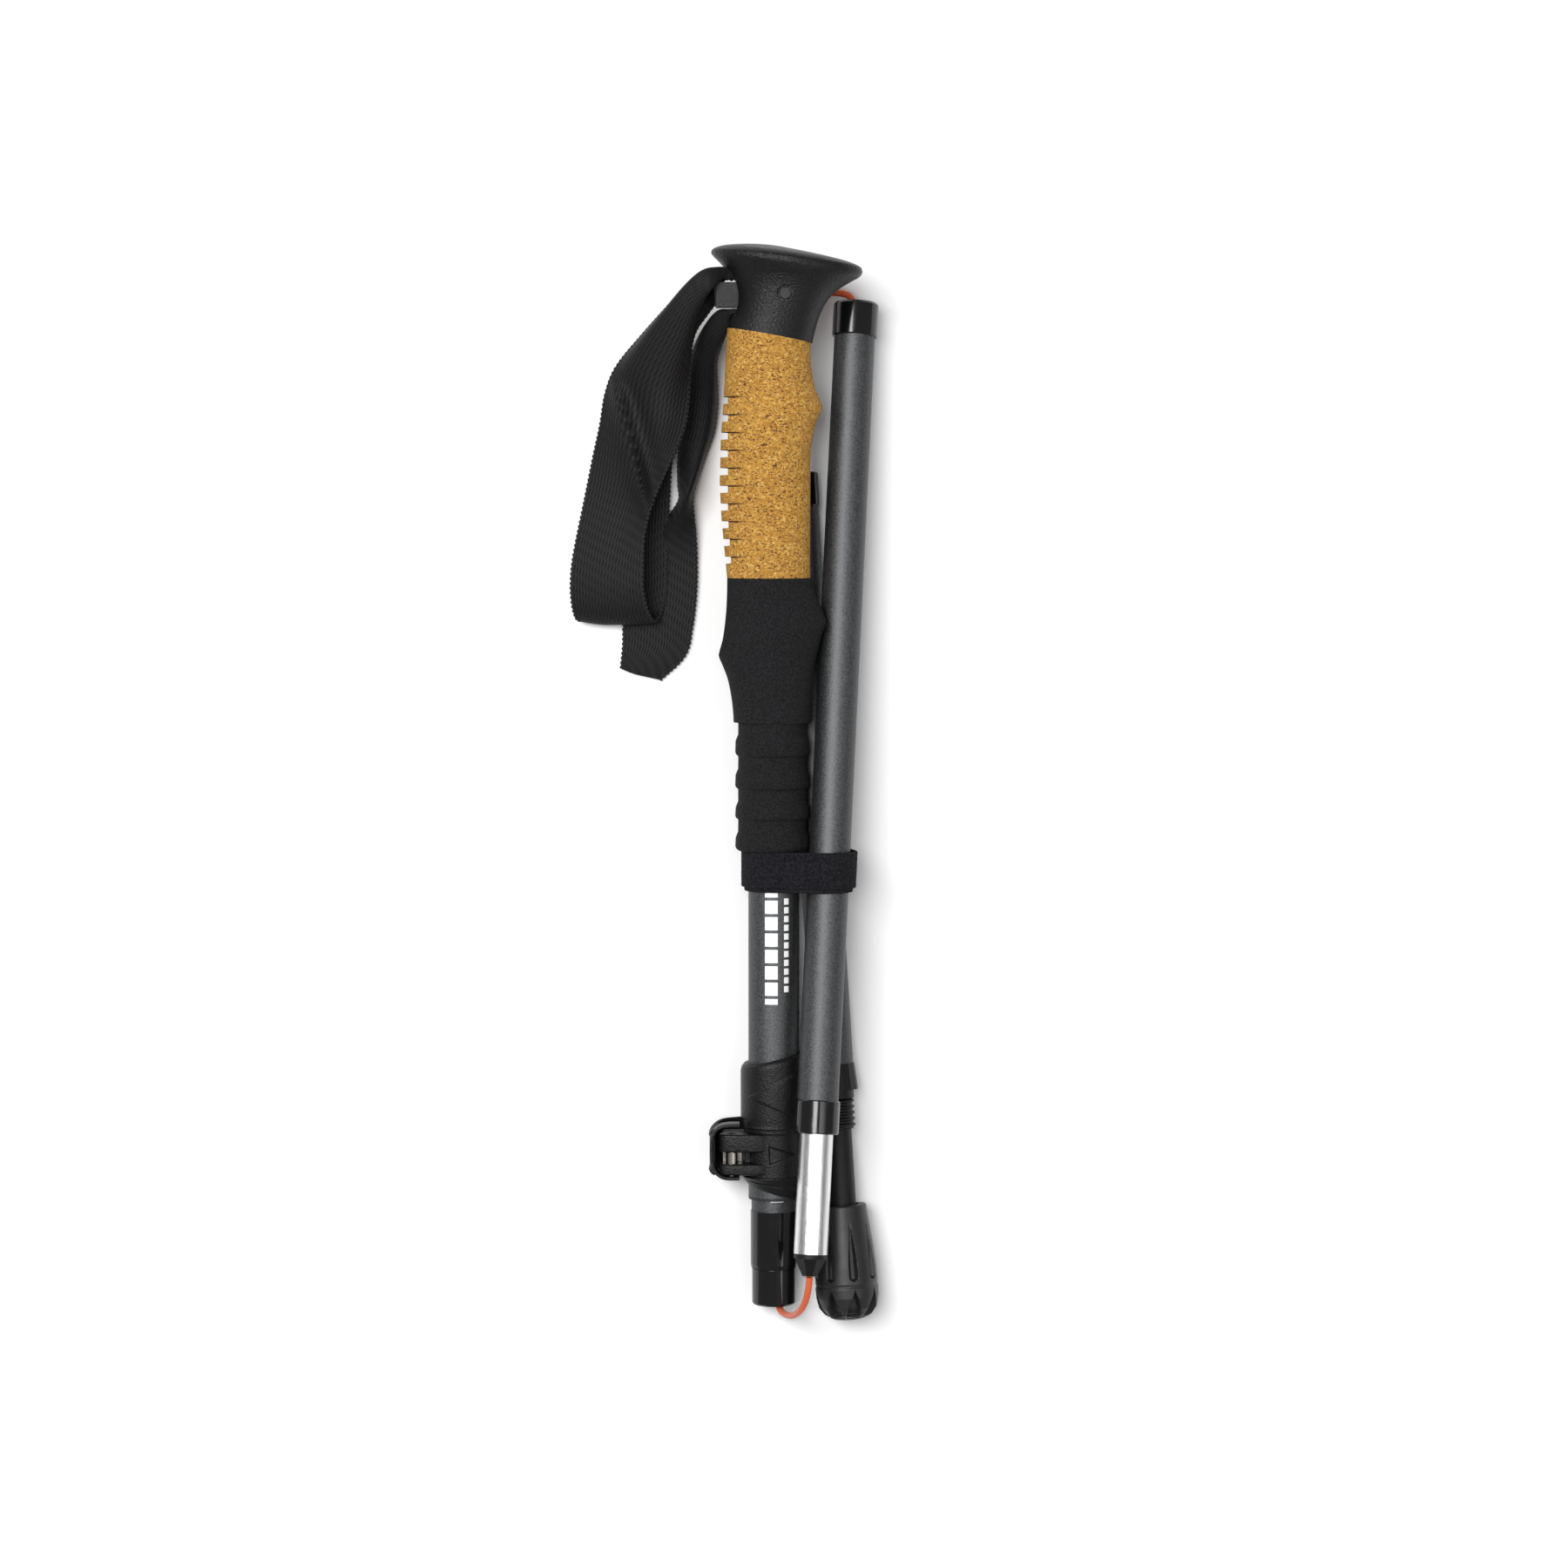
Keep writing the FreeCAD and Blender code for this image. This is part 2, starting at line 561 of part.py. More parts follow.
def storage_strap():
    """Hook-and-loop band wrapped tightly round all three sections."""
    def outline(station, grow):
        circles = [(0, 0, OUTER_R)]
        for section in (MIDDLE, LOWER):
            along = (HANDLE.multVec(Vector(0, 0, station)) - section.Base).y
            local = HANDLE.inverse().multVec(section.multVec(Vector(0, 0, along)))
            circles.append((local.x, local.y, FOLD_R))
        points = [Vector(x, y, station) for x, y in hull_outline(circles, grow)]
        return Part.makePolygon(points + points[:1])

    inner = loft([outline(STRAP_LOW, SOFT_GAP), outline(STRAP_HIGH, SOFT_GAP)])
    outer = loft([outline(STRAP_LOW, SOFT_GAP + STRAP_THICK),
                  outline(STRAP_HIGH, SOFT_GAP + STRAP_THICK)])
    return outer.cut(inner)


# ---- bare loops of the shock cord --------------------------------------------------------

LOWER_LOOP = [Vector(8.9, -172.7, 34.7), Vector(8.4, -181.0, 33.8), Vector(3.6, -188.6, 22.5),
              Vector(-2.2, -187.6, 12.0), Vector(-3.5, -180.4, 10.4)]
UPPER_LOOP = [Vector(25.4, 165.4, 11.9), Vector(25.6, 173.2, 11.5), Vector(18.5, 175.4, 10.6),
              Vector(9.0, 174.0, 9.2), Vector(2.4, 169.5, 8.2), Vector(1.2, 162.2, 7.7)]


def loop_cord(points):
    return round_sweep(rounded_path(points), CORD_R)


def loop_sheath(points):
    path = rounded_path(points)
    return round_sweep(path, SHEATH_R).cut(round_sweep(path, CORD_R))


# ---- build --------------------------------------------------------------------------------

def middle_cone():
    return guide_cone(0.0, CONE_LENGTH)


def lower_cone():
    return guide_cone(LOWER_LENGTH, CONE_BASE)


SECTIONS = {
    "handle": (HANDLE, [pommel, strap_pin, strap_wedge, cork_grip, foam_grip, outer_shaft,
                        shaft_plug, shaft_bush, clamp_collar, clamp_pin, clamp_screw, clamp_nut,
                        clamp_washer, clamp_lever, storage_strap, inner_shaft,
                        inner_shaft_plug, ferrule_collar, ferrule_socket, upper_cord_anchor,
                        shock_cord_upper]),
    "middle": (MIDDLE, [middle_tube, middle_socket_cap, shock_cord_middle]),
    "lower": (LOWER, [lower_tube, lower_spigot, shock_cord_lower, lower_cord_knot,
                      basket_collar, flex_tip, tip_insert, tip_protector]),
}


def placed(shape, placement):
    shape.Placement = placement.multiply(shape.Placement)
    return shape


def placed_parts():
    """Every sub-part by name, in the frame whose floor is z = 0."""
    parts = {}
    for placement, makers in SECTIONS.values():
        for make in makers:
            parts[make.__name__] = placed(make(), placement)
    for name, placement, shape in (
            ("middle_spigot_cone", MIDDLE, middle_cone()),
            ("middle_spigot", MIDDLE, spigot(CONE_LENGTH, MIDDLE_SLEEVE[0], 84.0)),
            ("middle_spigot_sleeve", MIDDLE, sleeve(*MIDDLE_SLEEVE)),
            ("lower_spigot_cone", LOWER, lower_cone()),
            ("lower_spigot_sleeve", LOWER, lower_sleeve())):
        parts[name] = placed(shape, placement)
    parts["wrist_strap"] = wrist_strap()
    parts["lower_loop_cord"] = loop_cord(LOWER_LOOP)
    parts["lower_loop_sheath"] = loop_sheath(LOWER_LOOP)
    parts["upper_loop_cord"] = loop_cord(UPPER_LOOP)
    parts["upper_loop_sheath"] = loop_sheath(UPPER_LOOP)
    return parts


def main():
    os.makedirs("parts", exist_ok=True)
    parts = placed_parts()
    whole = Part.makeCompound(list(parts.values())).optimalBoundingBox()
    shift = Vector(-(whole.XMin + whole.XMax) / 2, -(whole.YMin + whole.YMax) / 2, -whole.ZMin)
    print("shift", shift)
    for name, shape in parts.items():
        shape.translate(shift)
        shape.exportStep(f"parts/{name}.step")
        print(f"{name}: {len(shape.Solids)} solid(s), {shape.Volume:.0f} mm3, {shape.isValid()}")


main()
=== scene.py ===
"""Looks of a folded three-section trekking pole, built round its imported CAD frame."""
import math

import bmesh
import bpy
import numpy as np
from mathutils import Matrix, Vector, noise


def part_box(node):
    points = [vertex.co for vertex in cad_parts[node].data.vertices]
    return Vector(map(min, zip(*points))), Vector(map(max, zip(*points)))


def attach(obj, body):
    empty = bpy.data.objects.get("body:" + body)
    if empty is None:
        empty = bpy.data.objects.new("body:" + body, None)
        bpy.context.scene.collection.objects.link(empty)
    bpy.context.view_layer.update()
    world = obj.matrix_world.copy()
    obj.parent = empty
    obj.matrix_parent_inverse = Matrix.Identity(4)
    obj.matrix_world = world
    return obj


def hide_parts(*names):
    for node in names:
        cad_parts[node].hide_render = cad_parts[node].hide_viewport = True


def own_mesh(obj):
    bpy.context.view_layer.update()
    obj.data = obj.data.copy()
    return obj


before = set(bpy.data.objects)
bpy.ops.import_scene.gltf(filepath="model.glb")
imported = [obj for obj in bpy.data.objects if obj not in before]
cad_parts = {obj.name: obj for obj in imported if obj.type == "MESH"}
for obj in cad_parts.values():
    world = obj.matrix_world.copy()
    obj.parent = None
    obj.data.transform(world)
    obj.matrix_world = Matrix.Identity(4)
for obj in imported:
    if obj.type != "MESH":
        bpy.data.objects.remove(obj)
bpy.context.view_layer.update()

MM = 0.001


# ---- frames ----

def node_centre(node):
    low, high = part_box(node)
    return (low + high) / 2


class Section:
    """A pole section's own frame in millimetres: x across, up towards the sky, station along."""

    def __init__(self, node, station, other):
        self.along = (node_centre(other) - node_centre(node)).normalized()
        self.across = self.along.cross(Vector((0, 0, 1))).normalized()
        self.up = self.across.cross(self.along)
        self.origin = node_centre(node) - self.along * station * MM
        self.axes = np.array([self.across, self.up, self.along])

    def points(self, local):
        """The part's points in metres for an array of (x, up, station) in millimetres."""
        return np.asarray(local, float) @ self.axes * MM + np.array(self.origin)

    def at(self, x, up, station):
        return Vector(self.points((x, up, station)))


HANDLE = Section("ferrule_collar", 23.45, "outer_shaft")
MIDDLE = Section("middle_spigot_sleeve", 55.6, "middle_tube")
LOWER = Section("lower_tube", 194.85, "lower_spigot_sleeve")

# The table frame has its origin on the surface, straight under the camera.
HANDLE_START = (-3.6, -184.9, 10.1)
TABLE = HANDLE.at(0, 0, 0) - Vector(HANDLE_START) * MM


def table(points):
    """The part's points in metres for points in the table frame in millimetres."""
    return np.asarray(points, float) * MM + np.array(TABLE)


# ---- mesh helpers ----

def catmull(points, per_span):
    """A smooth run through rows of numbers, per_span steps to each span."""
    p = np.asarray(points, float)
    p = np.concatenate([2 * p[:1] - p[1:2], p, 2 * p[-1:] - p[-2:-1]])
    t = np.arange(per_span) / per_span
    t = t.reshape((-1,) + (1,) * (p.ndim - 1))
    rows = []
    for a, b, c, d in zip(p, p[1:], p[2:], p[3:]):
        rows.append(0.5 * (2 * b + (c - a) * t + (2 * a - 5 * b + 4 * c - d) * t ** 2
                           + (3 * b - a - 3 * c + d) * t ** 3))
    return np.concatenate(rows + [p[-2:-1]])


def softened(stations, points, radius):
    """Values along stations through (station, value) corners, rounded over a radius."""
    corners = np.array(sorted(points))
    offsets = np.linspace(-1, 1, 9)
    weights = 1 - np.abs(offsets) * 0.8
    total = sum(w * np.interp(stations + o * radius, corners[:, 0], corners[:, 1])
                for o, w in zip(offsets, weights))
    return total / weights.sum()


def smooth_step(value, low, high):
    t = np.clip((value - low) / (high - low), 0, 1)
    return t * t * (3 - 2 * t)


def off_line(x, y, start, end):
    """How far points lie to the left of the line from start to end."""
    (ax, ay), (bx, by) = start, end
    return ((bx - ax) * (y - ay) - (by - ay) * (x - ax)) / math.hypot(bx - ax, by - ay)


def circle(count):
    """Cosines and sines of evenly spaced angles round a circle."""
    angle = np.linspace(0, 2 * np.pi, count, endpoint=False)
    return np.cos(angle), np.sin(angle)


def squared(value, power):
    """A cosine or sine pushed towards a square outline."""
    return np.sign(value) * np.abs(value) ** power


def run_along(line):
    """Each point's distance along a line from its start."""
    return np.concatenate([[0], np.cumsum(np.linalg.norm(np.diff(line, axis=0), axis=1))])


def unit(vectors):
    return vectors / np.linalg.norm(vectors, axis=1)[:, None]


def linked(name, data):
    """A new object in the scene."""
    made = bpy.data.objects.new(name, data)
    bpy.context.scene.collection.objects.link(made)
    return made


def grid_mesh(name, grid, around=False, capped=False, uv=None, sharp=None):
    """An object from a grid of points; around closes its rows, capped closes its ends."""
    rows, columns = grid.shape[:2]
    index = np.arange(rows * columns).reshape(rows, columns)
    nxt = np.roll(index, -1, 1) if around else index[:, 1:]
    here = index if around else index[:, :-1]
    faces = np.stack([here[:-1], nxt[:-1], nxt[1:], here[1:]], -1).reshape(-1, 4).tolist()
    if capped:
        faces += [index[0, ::-1].tolist(), index[-1].tolist()]
    mesh = bpy.data.meshes.new(name)
    mesh.from_pydata(grid.reshape(-1, 3).tolist(), [], faces)
    if uv is not None:
        layer = mesh.uv_layers.new(name="UVMap")
        flat = uv.reshape(-1, 2)
        loops = np.zeros(len(mesh.loops), int)
        mesh.loops.foreach_get("vertex_index", loops)
        layer.data.foreach_set("uv", flat[loops].ravel())
    mesh.polygons.foreach_set("use_smooth", [True] * len(mesh.polygons))
    if sharp:
        mesh.set_sharp_from_angle(angle=math.radians(sharp))
    return linked(name, mesh)


def apply_modifiers(piece):
    """Replaces a piece's mesh with the one its modifiers make."""
    bpy.context.view_layer.update()
    evaluated = piece.evaluated_get(bpy.context.evaluated_depsgraph_get())
    mesh = bpy.data.meshes.new_from_object(evaluated)
    piece.modifiers.clear()
    piece.data = mesh


def sharpened(piece, angle):
    """Marks the edges that are sharper than an angle in degrees."""
    piece.data.set_sharp_from_angle(angle=math.radians(angle))


def outward(piece, weld=False):
    """Turns a closed piece's faces outwards. weld first joins the points that coincide."""
    work = bmesh.new()
    work.from_mesh(piece.data)
    if weld:
        bmesh.ops.remove_doubles(work, verts=work.verts, dist=0.000001)
    bmesh.ops.recalc_face_normals(work, faces=work.faces)
    work.to_mesh(piece.data)
    work.free()
    return piece


def solid(name, grid, sharp=None):
    """A closed piece from a grid of rings."""
    return outward(grid_mesh(name, grid, around=True, capped=True, sharp=sharp))


def thickened(piece, thickness, offset=0.0):
    """Gives a sheet its thickness in millimetres."""
    wall = piece.modifiers.new("wall", "SOLIDIFY")
    wall.thickness = thickness * MM
    wall.offset = offset


def rounded(piece, width, harden=False):
    """Rounds a piece's sharp edges by a width in millimetres."""
    bevel = piece.modifiers.new("rounded", "BEVEL")
    bevel.width = width * MM
    bevel.segments = 3
    bevel.limit_method = "ANGLE"
    bevel.angle_limit = math.radians(30)
    bevel.harden_normals = harden


def smoothed(piece, sharp):
    """Shades a piece smooth, apart from edges sharper than an angle in degrees."""
    piece.data.polygons.foreach_set("use_smooth", [True] * len(piece.data.polygons))
    sharpened(piece, sharp)


def ring_points(left, right, depth, count):
    """x and up of ovals between left and right, one row for each station."""
    c, s = circle(count)
    middle, half = (left + right) / 2, (right - left) / 2
    return middle[:, None] + half[:, None] * c, depth[:, None] * s


def paired_loft(pairs, around, per_span):
    """A grid through ovals given by (left x, left station, right x, right station, depth)."""
    rows = catmull(pairs, per_span)
    x, up = ring_points(rows[:, 0], rows[:, 2], rows[:, 4], around)
    share = (x - rows[:, :1]) / np.maximum(rows[:, 2:3] - rows[:, :1], 1e-6)
    station = rows[:, 1:2] + share * (rows[:, 3:4] - rows[:, 1:2])
    return HANDLE.points(np.stack([x, up, station], -1))


# ---- materials ----

class Finish:
    """A material under construction: a Principled shader and short calls for its nodes."""

    def __init__(self, name, **sockets):
        self.material = bpy.data.materials.new(name)
        self.material.use_nodes = True
        self.tree = self.material.node_tree
        self.shader = self.tree.nodes["Principled BSDF"]
        for socket, value in sockets.items():
            self.shader.inputs[socket.replace("_", " ")].default_value = value
        self.place = self.node("ShaderNodeTexCoord").outputs["Object"]

    def node(self, kind, inputs=None, **settings):
        """A new node with its settings, and its inputs by name or number."""
        made = self.tree.nodes.new(kind)
        for key, value in settings.items():
            setattr(made, key, value)
        for socket, value in (inputs or {}).items():
            self.feed(made.inputs[socket], value)
        return made

    def feed(self, socket, value):
        """Links a socket to another's value, or sets it, giving a colour its alpha."""
        if isinstance(value, bpy.types.NodeSocket):
            self.tree.links.new(value, socket)
        else:
            socket.default_value = (*value, 1) if socket.type == "RGBA" else value

    def by_uv(self):
        self.place = self.node("ShaderNodeTexCoord").outputs["UV"]
        return self

    def math(self, operation, *values):
        return self.node("ShaderNodeMath", dict(enumerate(values)), operation=operation).outputs[0]

    def times(self, first, second):
        return self.math("MULTIPLY", first, second)

    def ranged(self, value, low, high, start=0.0, end=1.0):
        """start where value is low, end where it is high, and level beyond them."""
        inputs = {"Value": value, "From Min": low, "From Max": high, "To Min": start, "To Max": end}
        return self.node("ShaderNodeMapRange", inputs).outputs["Result"]

    def stretched(self, scale):
        return self.node("ShaderNodeMapping", {"Scale": scale, "Vector": self.place}).outputs[0]

    def along(self, direction, offset=0.0):
        """Distance of each point along a direction, in metres."""
        made = self.node("ShaderNodeVectorMath", {0: self.place, 1: direction}, operation="DOT_PRODUCT")
        return self.math("SUBTRACT", made.outputs["Value"], offset)

    def wave(self, direction, period):
        """A sine wave between 0 and 1 that runs along a direction."""
        turns = self.times(self.along(direction), 2 * math.pi / period)
        return self.math("MULTIPLY_ADD", self.math("SINE", turns), 0.5, 0.5)

    def noise(self, scale, detail=3.0, roughness=0.5, where=None):
        inputs = {"Scale": scale, "Detail": detail, "Roughness": roughness, "Vector": where or self.place}
        return self.node("ShaderNodeTexNoise", inputs).outputs["Fac"]

    def cells(self, scale):
        """A random colour for each cell."""
        inputs = {"Scale": scale, "Vector": self.place}
        return self.node("ShaderNodeTexVoronoi", inputs, feature="F1").outputs["Color"]

    def ramp(self, value, *stops):
        made = self.node("ShaderNodeValToRGB", {"Fac": value})
        elements = made.color_ramp.elements
        while len(elements) < len(stops):
            elements.new(0.5)
        for element, (position, color) in zip(elements, stops):
            element.position = position
            element.color = (*color, 1) if hasattr(color, "__len__") else (color,) * 3 + (1,)
        return made.outputs["Color"]

    def mix(self, share, first, second):
        inputs = {"Factor": share, 6: first, 7: second}
        return self.node("ShaderNodeMix", inputs, data_type="RGBA").outputs[2]

    def color(self, value):
        self.feed(self.shader.inputs["Base Color"], value)
        return self

    def rough(self, value, low, high):
        self.feed(self.shader.inputs["Roughness"], self.ranged(value, 0.0, 1.0, low, high))
        return self

    def bump(self, height, distance):
        """Adds a bump of the given depth in metres on top of any earlier one."""
        made = self.node("ShaderNodeBump", {"Distance": distance, "Strength": 1.0, "Height": height})
        earlier = self.shader.inputs["Normal"].links
        if earlier:
            self.tree.links.new(earlier[0].from_socket, made.inputs["Normal"])
        self.tree.links.new(made.outputs["Normal"], self.shader.inputs["Normal"])
        return self


def grained_plastic(name, shade, low, high, grain=1500.0, depth=0.00012):
    """Moulded plastic with a fine spark-eroded grain and slightly uneven gloss."""
    f = Finish(name, Specular_IOR_Level=0.26)
    blotch = f.noise(70.0, 4.0)
    fine = f.noise(grain, 2.0, 0.6)
    f.color(f.mix(blotch, tuple(0.25 * s for s in shade), tuple(0.5 * s for s in shade)))
    f.rough(f.noise(400.0, 4.0), low, high)
    return f.bump(fine, depth)


def anodised(name, printed=None):
    """Bead-blasted dark anodised tube. printed adds its marks and returns their mask."""
    f = Finish(name, Metallic=0.9)
    speck = f.ramp(f.noise(1700.0, 3.0, 0.7), (0.35, 0.0), (0.65, 1.0))
    drawn = f.noise(1.0, 3.0, 0.6, where=f.stretched((1500, 25, 1500)))
    grey = f.mix(speck, (0.055, 0.057, 0.060), (0.145, 0.148, 0.152))
    grey = f.mix(f.times(drawn, 0.35), grey, (0.05, 0.052, 0.055))
    f.rough(speck, 0.44, 0.58)
    f.bump(speck, 0.00003)
    if printed:
        mask = printed(f)
        grey = f.mix(mask, grey, (0.86, 0.86, 0.85))
        f.feed(f.shader.inputs["Metallic"], f.math("MULTIPLY_ADD", mask, -0.9, 0.9))
    return f.color(grey)


def within(f, value, low, high):
    """1 where value is between low and high, with a soft printed edge."""
    edge = 0.00006
    return f.times(f.ranged(value, low - edge, low + edge), f.ranged(value, high + edge, high - edge))


def handle_coordinates(f):
    """Distances across, above and along the handle's axis, in metres."""
    origin = HANDLE.origin
    return [f.along(d, origin.dot(d)) for d in (HANDLE.across, HANDLE.up, HANDLE.along)]


def printed_row(f, across, along, wide, reach, pitch, block):
    """A row of plain blocks: its width, its reach along the shaft, and one block in each pitch."""
    row = f.times(within(f, across, *wide), within(f, along, *reach))
    return f.times(row, within(f, f.math("WRAP", along, pitch, 0.0), *block))


def shaft_stripes(f):
    """Two plain rows of printed blocks along the outer shaft."""
    across, up, along = handle_coordinates(f)
    broad = printed_row(f, across, along, (-0.0031, 0.0014), (0.108, 0.149), 0.0058, (0.0009, 0.0056))
    narrow = printed_row(f, across, along, (0.0036, 0.0052), (0.112, 0.146), 0.0031, (0.0007, 0.0029))
    return f.times(f.math("MAXIMUM", broad, narrow), f.math("GREATER_THAN", up, 0.0))


def height_ticks(f):
    """Plain graduations every centimetre along the inner shaft."""
    across, up, along = handle_coordinates(f)
    step = f.math("WRAP", along, 0.01, 0.0)
    tick = f.times(within(f, step, 0.0074, 0.0079), within(f, across, -0.0012, 0.0034))
    return f.times(tick, f.math("GREATER_THAN", up, 0.0))


def brushed(name, shade, low, high):
    """Bright metal with fine drawing marks along the pole."""
    f = Finish(name, Metallic=1.0)
    marks = f.noise(1.0, 5.0, 0.7, where=f.stretched((5200, 16, 5200)))
    wide = f.noise(1.0, 2.0, 0.5, where=f.stretched((900, 6, 900)))
    tone = f.math("ADD", f.times(marks, 0.55), f.times(wide, 0.45))
    f.color(f.ramp(tone, (0.3, tuple(0.55 * s for s in shade)), (0.62, shade)))
    f.rough(marks, low, high)
    return f.bump(marks, 0.00004)


def gloss_plastic(name):
    f = Finish(name, Roughness=0.12)
    f.color(f.mix(f.noise(60.0), (0.0025, 0.0025, 0.003), (0.005, 0.005, 0.0055)))
    f.rough(f.noise(300.0, 5.0), 0.07, 0.2)
    return f.bump(f.noise(1.0, 3.0, where=f.stretched((900, 120, 900))), 0.000015)


def painted_crack_shade(f, place):
    """Painted shade in the cracks: dark lines that run on from the upper wall of each grip groove and
    fade out.
    """
    warped, f.place = f.place, place
    across, _, along = handle_coordinates(f)
    step = f.math("WRAP", f.math("SUBTRACT", along, 0.2655), 0.003105, -0.003105)
    line = f.times(within(f, step, -0.00045, 0.0001), within(f, along, 0.262, 0.3235))
    fade = f.ranged(across, -0.0085, -0.0135)
    f.place = warped
    return f.times(line, fade)


def cork_finish():
    """Pressed cork granules: ochre ground with long dark and pale flecks."""
    f = Finish("cork", Roughness=0.8, Specular_IOR_Level=0.25)
    true_place = f.place
    bend = f.node("ShaderNodeTexNoise", {"Scale": 260.0, "Vector": f.place}).outputs["Color"]
    spread = {0: bend, 1: (0.002, 0.002, 0.002), 2: f.place}
    f.place = f.node("ShaderNodeVectorMath", spread, operation="MULTIPLY_ADD").outputs["Vector"]
    tone = f.node("ShaderNodeSeparateColor", {"Color": f.cells(1350.0)})
    ground = f.ramp(tone.outputs["Red"], (0.0, (0.36, 0.165, 0.026)), (0.45, (0.47, 0.235, 0.038)),
                    (0.8, (0.55, 0.30, 0.055)), (1.0, (0.64, 0.40, 0.12)))
    fine = f.noise(1900.0, 3.0, 0.7)
    ground = f.mix(f.ramp(fine, (0.52, 0.0), (0.66, 1.0)), ground, (0.25, 0.105, 0.025))
    pale = f.noise(1.0, 2.0, 0.6, where=f.stretched((1100, 2600, 1900)))
    ground = f.mix(f.ramp(pale, (0.60, 0.0), (0.70, 0.6)), ground, (0.70, 0.47, 0.17))
    dark = f.noise(1.0, 2.0, 0.55, where=f.stretched((750, 1900, 2100)))
    ground = f.mix(f.ramp(dark, (0.575, 0.0), (0.615, 0.95)), ground, (0.085, 0.035, 0.018))
    # Painted shade: the cork is darkened along the crack at each groove's upper wall.
    f.color(f.mix(painted_crack_shade(f, true_place), ground, (0.05, 0.02, 0.01)))
    f.rough(fine, 0.7, 0.95)
    pits = f.math("ADD", f.times(fine, -0.5), f.times(dark, -0.8))
    return f.bump(pits, 0.00035)


def foam_finish():
    f = Finish("foam", Roughness=0.85, Specular_IOR_Level=0.2)
    pores = f.noise(1500.0, 4.0, 0.75)
    tone = f.ramp(pores, (0.4, 0.0), (0.6, 1.0))
    f.color(f.mix(tone, (0.0025, 0.0025, 0.003), (0.0165, 0.0165, 0.018)))
    f.rough(pores, 0.75, 0.95)
    f.bump(f.noise(240.0, 3.0), 0.00025)
    return f.bump(pores, 0.00022)


def webbing_finish():
    """Twill weave in the band's own coordinates: u across it and v along it, in metres."""
    f = Finish("webbing", Roughness=0.62, Specular_IOR_Level=0.22, Sheen_Weight=0.04,
               Sheen_Roughness=0.35).by_uv()
    warp = f.wave((1, 0, 0), 0.0011)
    twill = f.wave((0.94, 0.34, 0), 0.00125)
    weft = f.wave((0.1, 1, 0), 0.0006)
    weave = f.math("ADD", f.times(warp, 0.5), f.times(twill, 0.3))
    weave = f.math("ADD", weave, f.times(weft, 0.2))
    worn = f.noise(260.0, 3.0)
    tone = f.ramp(weave, (0.3, 0.0), (0.75, 1.0))
    shade = f.mix(tone, (0.001, 0.001, 0.0014), (0.0100, 0.0100, 0.0110))
    f.color(f.mix(f.times(worn, 0.25), shade, (0.008, 0.008, 0.009)))
    f.rough(weave, 0.72, 0.5)
    return f.bump(weave, 0.00018)


def edging_finish():
    f = Finish("webbing_edge", Roughness=0.6, Specular_IOR_Level=0.3)
    strands = f.noise(4200.0, 2.0)
    f.color(f.mix(strands, (0.004, 0.004, 0.005), (0.020, 0.020, 0.022)))
    return f.rough(strands, 0.5, 0.8).bump(strands, 0.0001)


def pile_finish():
    f = Finish("loop_pile", Roughness=0.95, Specular_IOR_Level=0.15)
    tufts = f.noise(1200.0, 5.0, 0.8)
    f.color(f.mix(f.ramp(tufts, (0.4, 0.0), (0.62, 1.0)), (0.002, 0.002, 0.003), (0.022, 0.022, 0.027)))
    return f.rough(tufts, 0.85, 1.0).bump(tufts, 0.0005)


def braid_finish():
    """Braided cover in the cord's own coordinates: u round it in turns, v along it in metres."""
    f = Finish("cord_braid", Roughness=0.5).by_uv()
    turn = f.times(f.along((1, 0, 0)), 37.7)
    lay = f.times(f.along((0, 1, 0)), 5200.0)
    one = f.math("SINE", f.math("ADD", turn, lay))
    two = f.math("SINE", f.math("SUBTRACT", turn, lay))
    over = f.math("MULTIPLY_ADD", f.times(one, two), 0.5, 0.5)
    pale = f.math("GREATER_THAN", f.noise(900.0, 2.0), 0.72)
    shade = f.mix(over, (0.44, 0.042, 0.002), (0.86, 0.145, 0.009))
    f.color(f.mix(f.times(pale, 0.6), shade, (0.90, 0.42, 0.24)))
    f.rough(over, 0.65, 0.45)
    return f.bump(over, 0.00018)


def clear_finish():
    """Clear hose: nearly invisible seen square on, milky at a grazing angle."""
    f = Finish("clear_sheath", Roughness=0.1)
    haze = f.noise(500.0, 3.0)
    f.color(f.mix(haze, (0.86, 0.87, 0.88), (0.74, 0.75, 0.77)))
    slant = f.node("ShaderNodeLayerWeight", {"Blend": 0.35})
    f.feed(f.shader.inputs["Alpha"],
           f.math("MULTIPLY_ADD", f.math("POWER", slant.outputs["Facing"], 3.6), 0.9, 0.012))
    return f.rough(haze, 0.04, 0.14)


def rubber_finish():
    f = Finish("tip_rubber", Roughness=0.45, Specular_IOR_Level=0.5)
    dust = f.noise(120.0, 5.0)
    f.color(f.mix(dust, (0.005, 0.0052, 0.0055), (0.012, 0.0124, 0.013)))
    f.rough(f.noise(500.0, 4.0), 0.34, 0.5)
    return f.bump(f.noise(2400.0, 2.0), 0.00006)


def floor_finish():
    f = Finish("paper_floor", Roughness=0.9)
    f.color(f.mix(f.noise(8.0), (0.93, 0.93, 0.93), (0.95, 0.95, 0.95)))
    return f


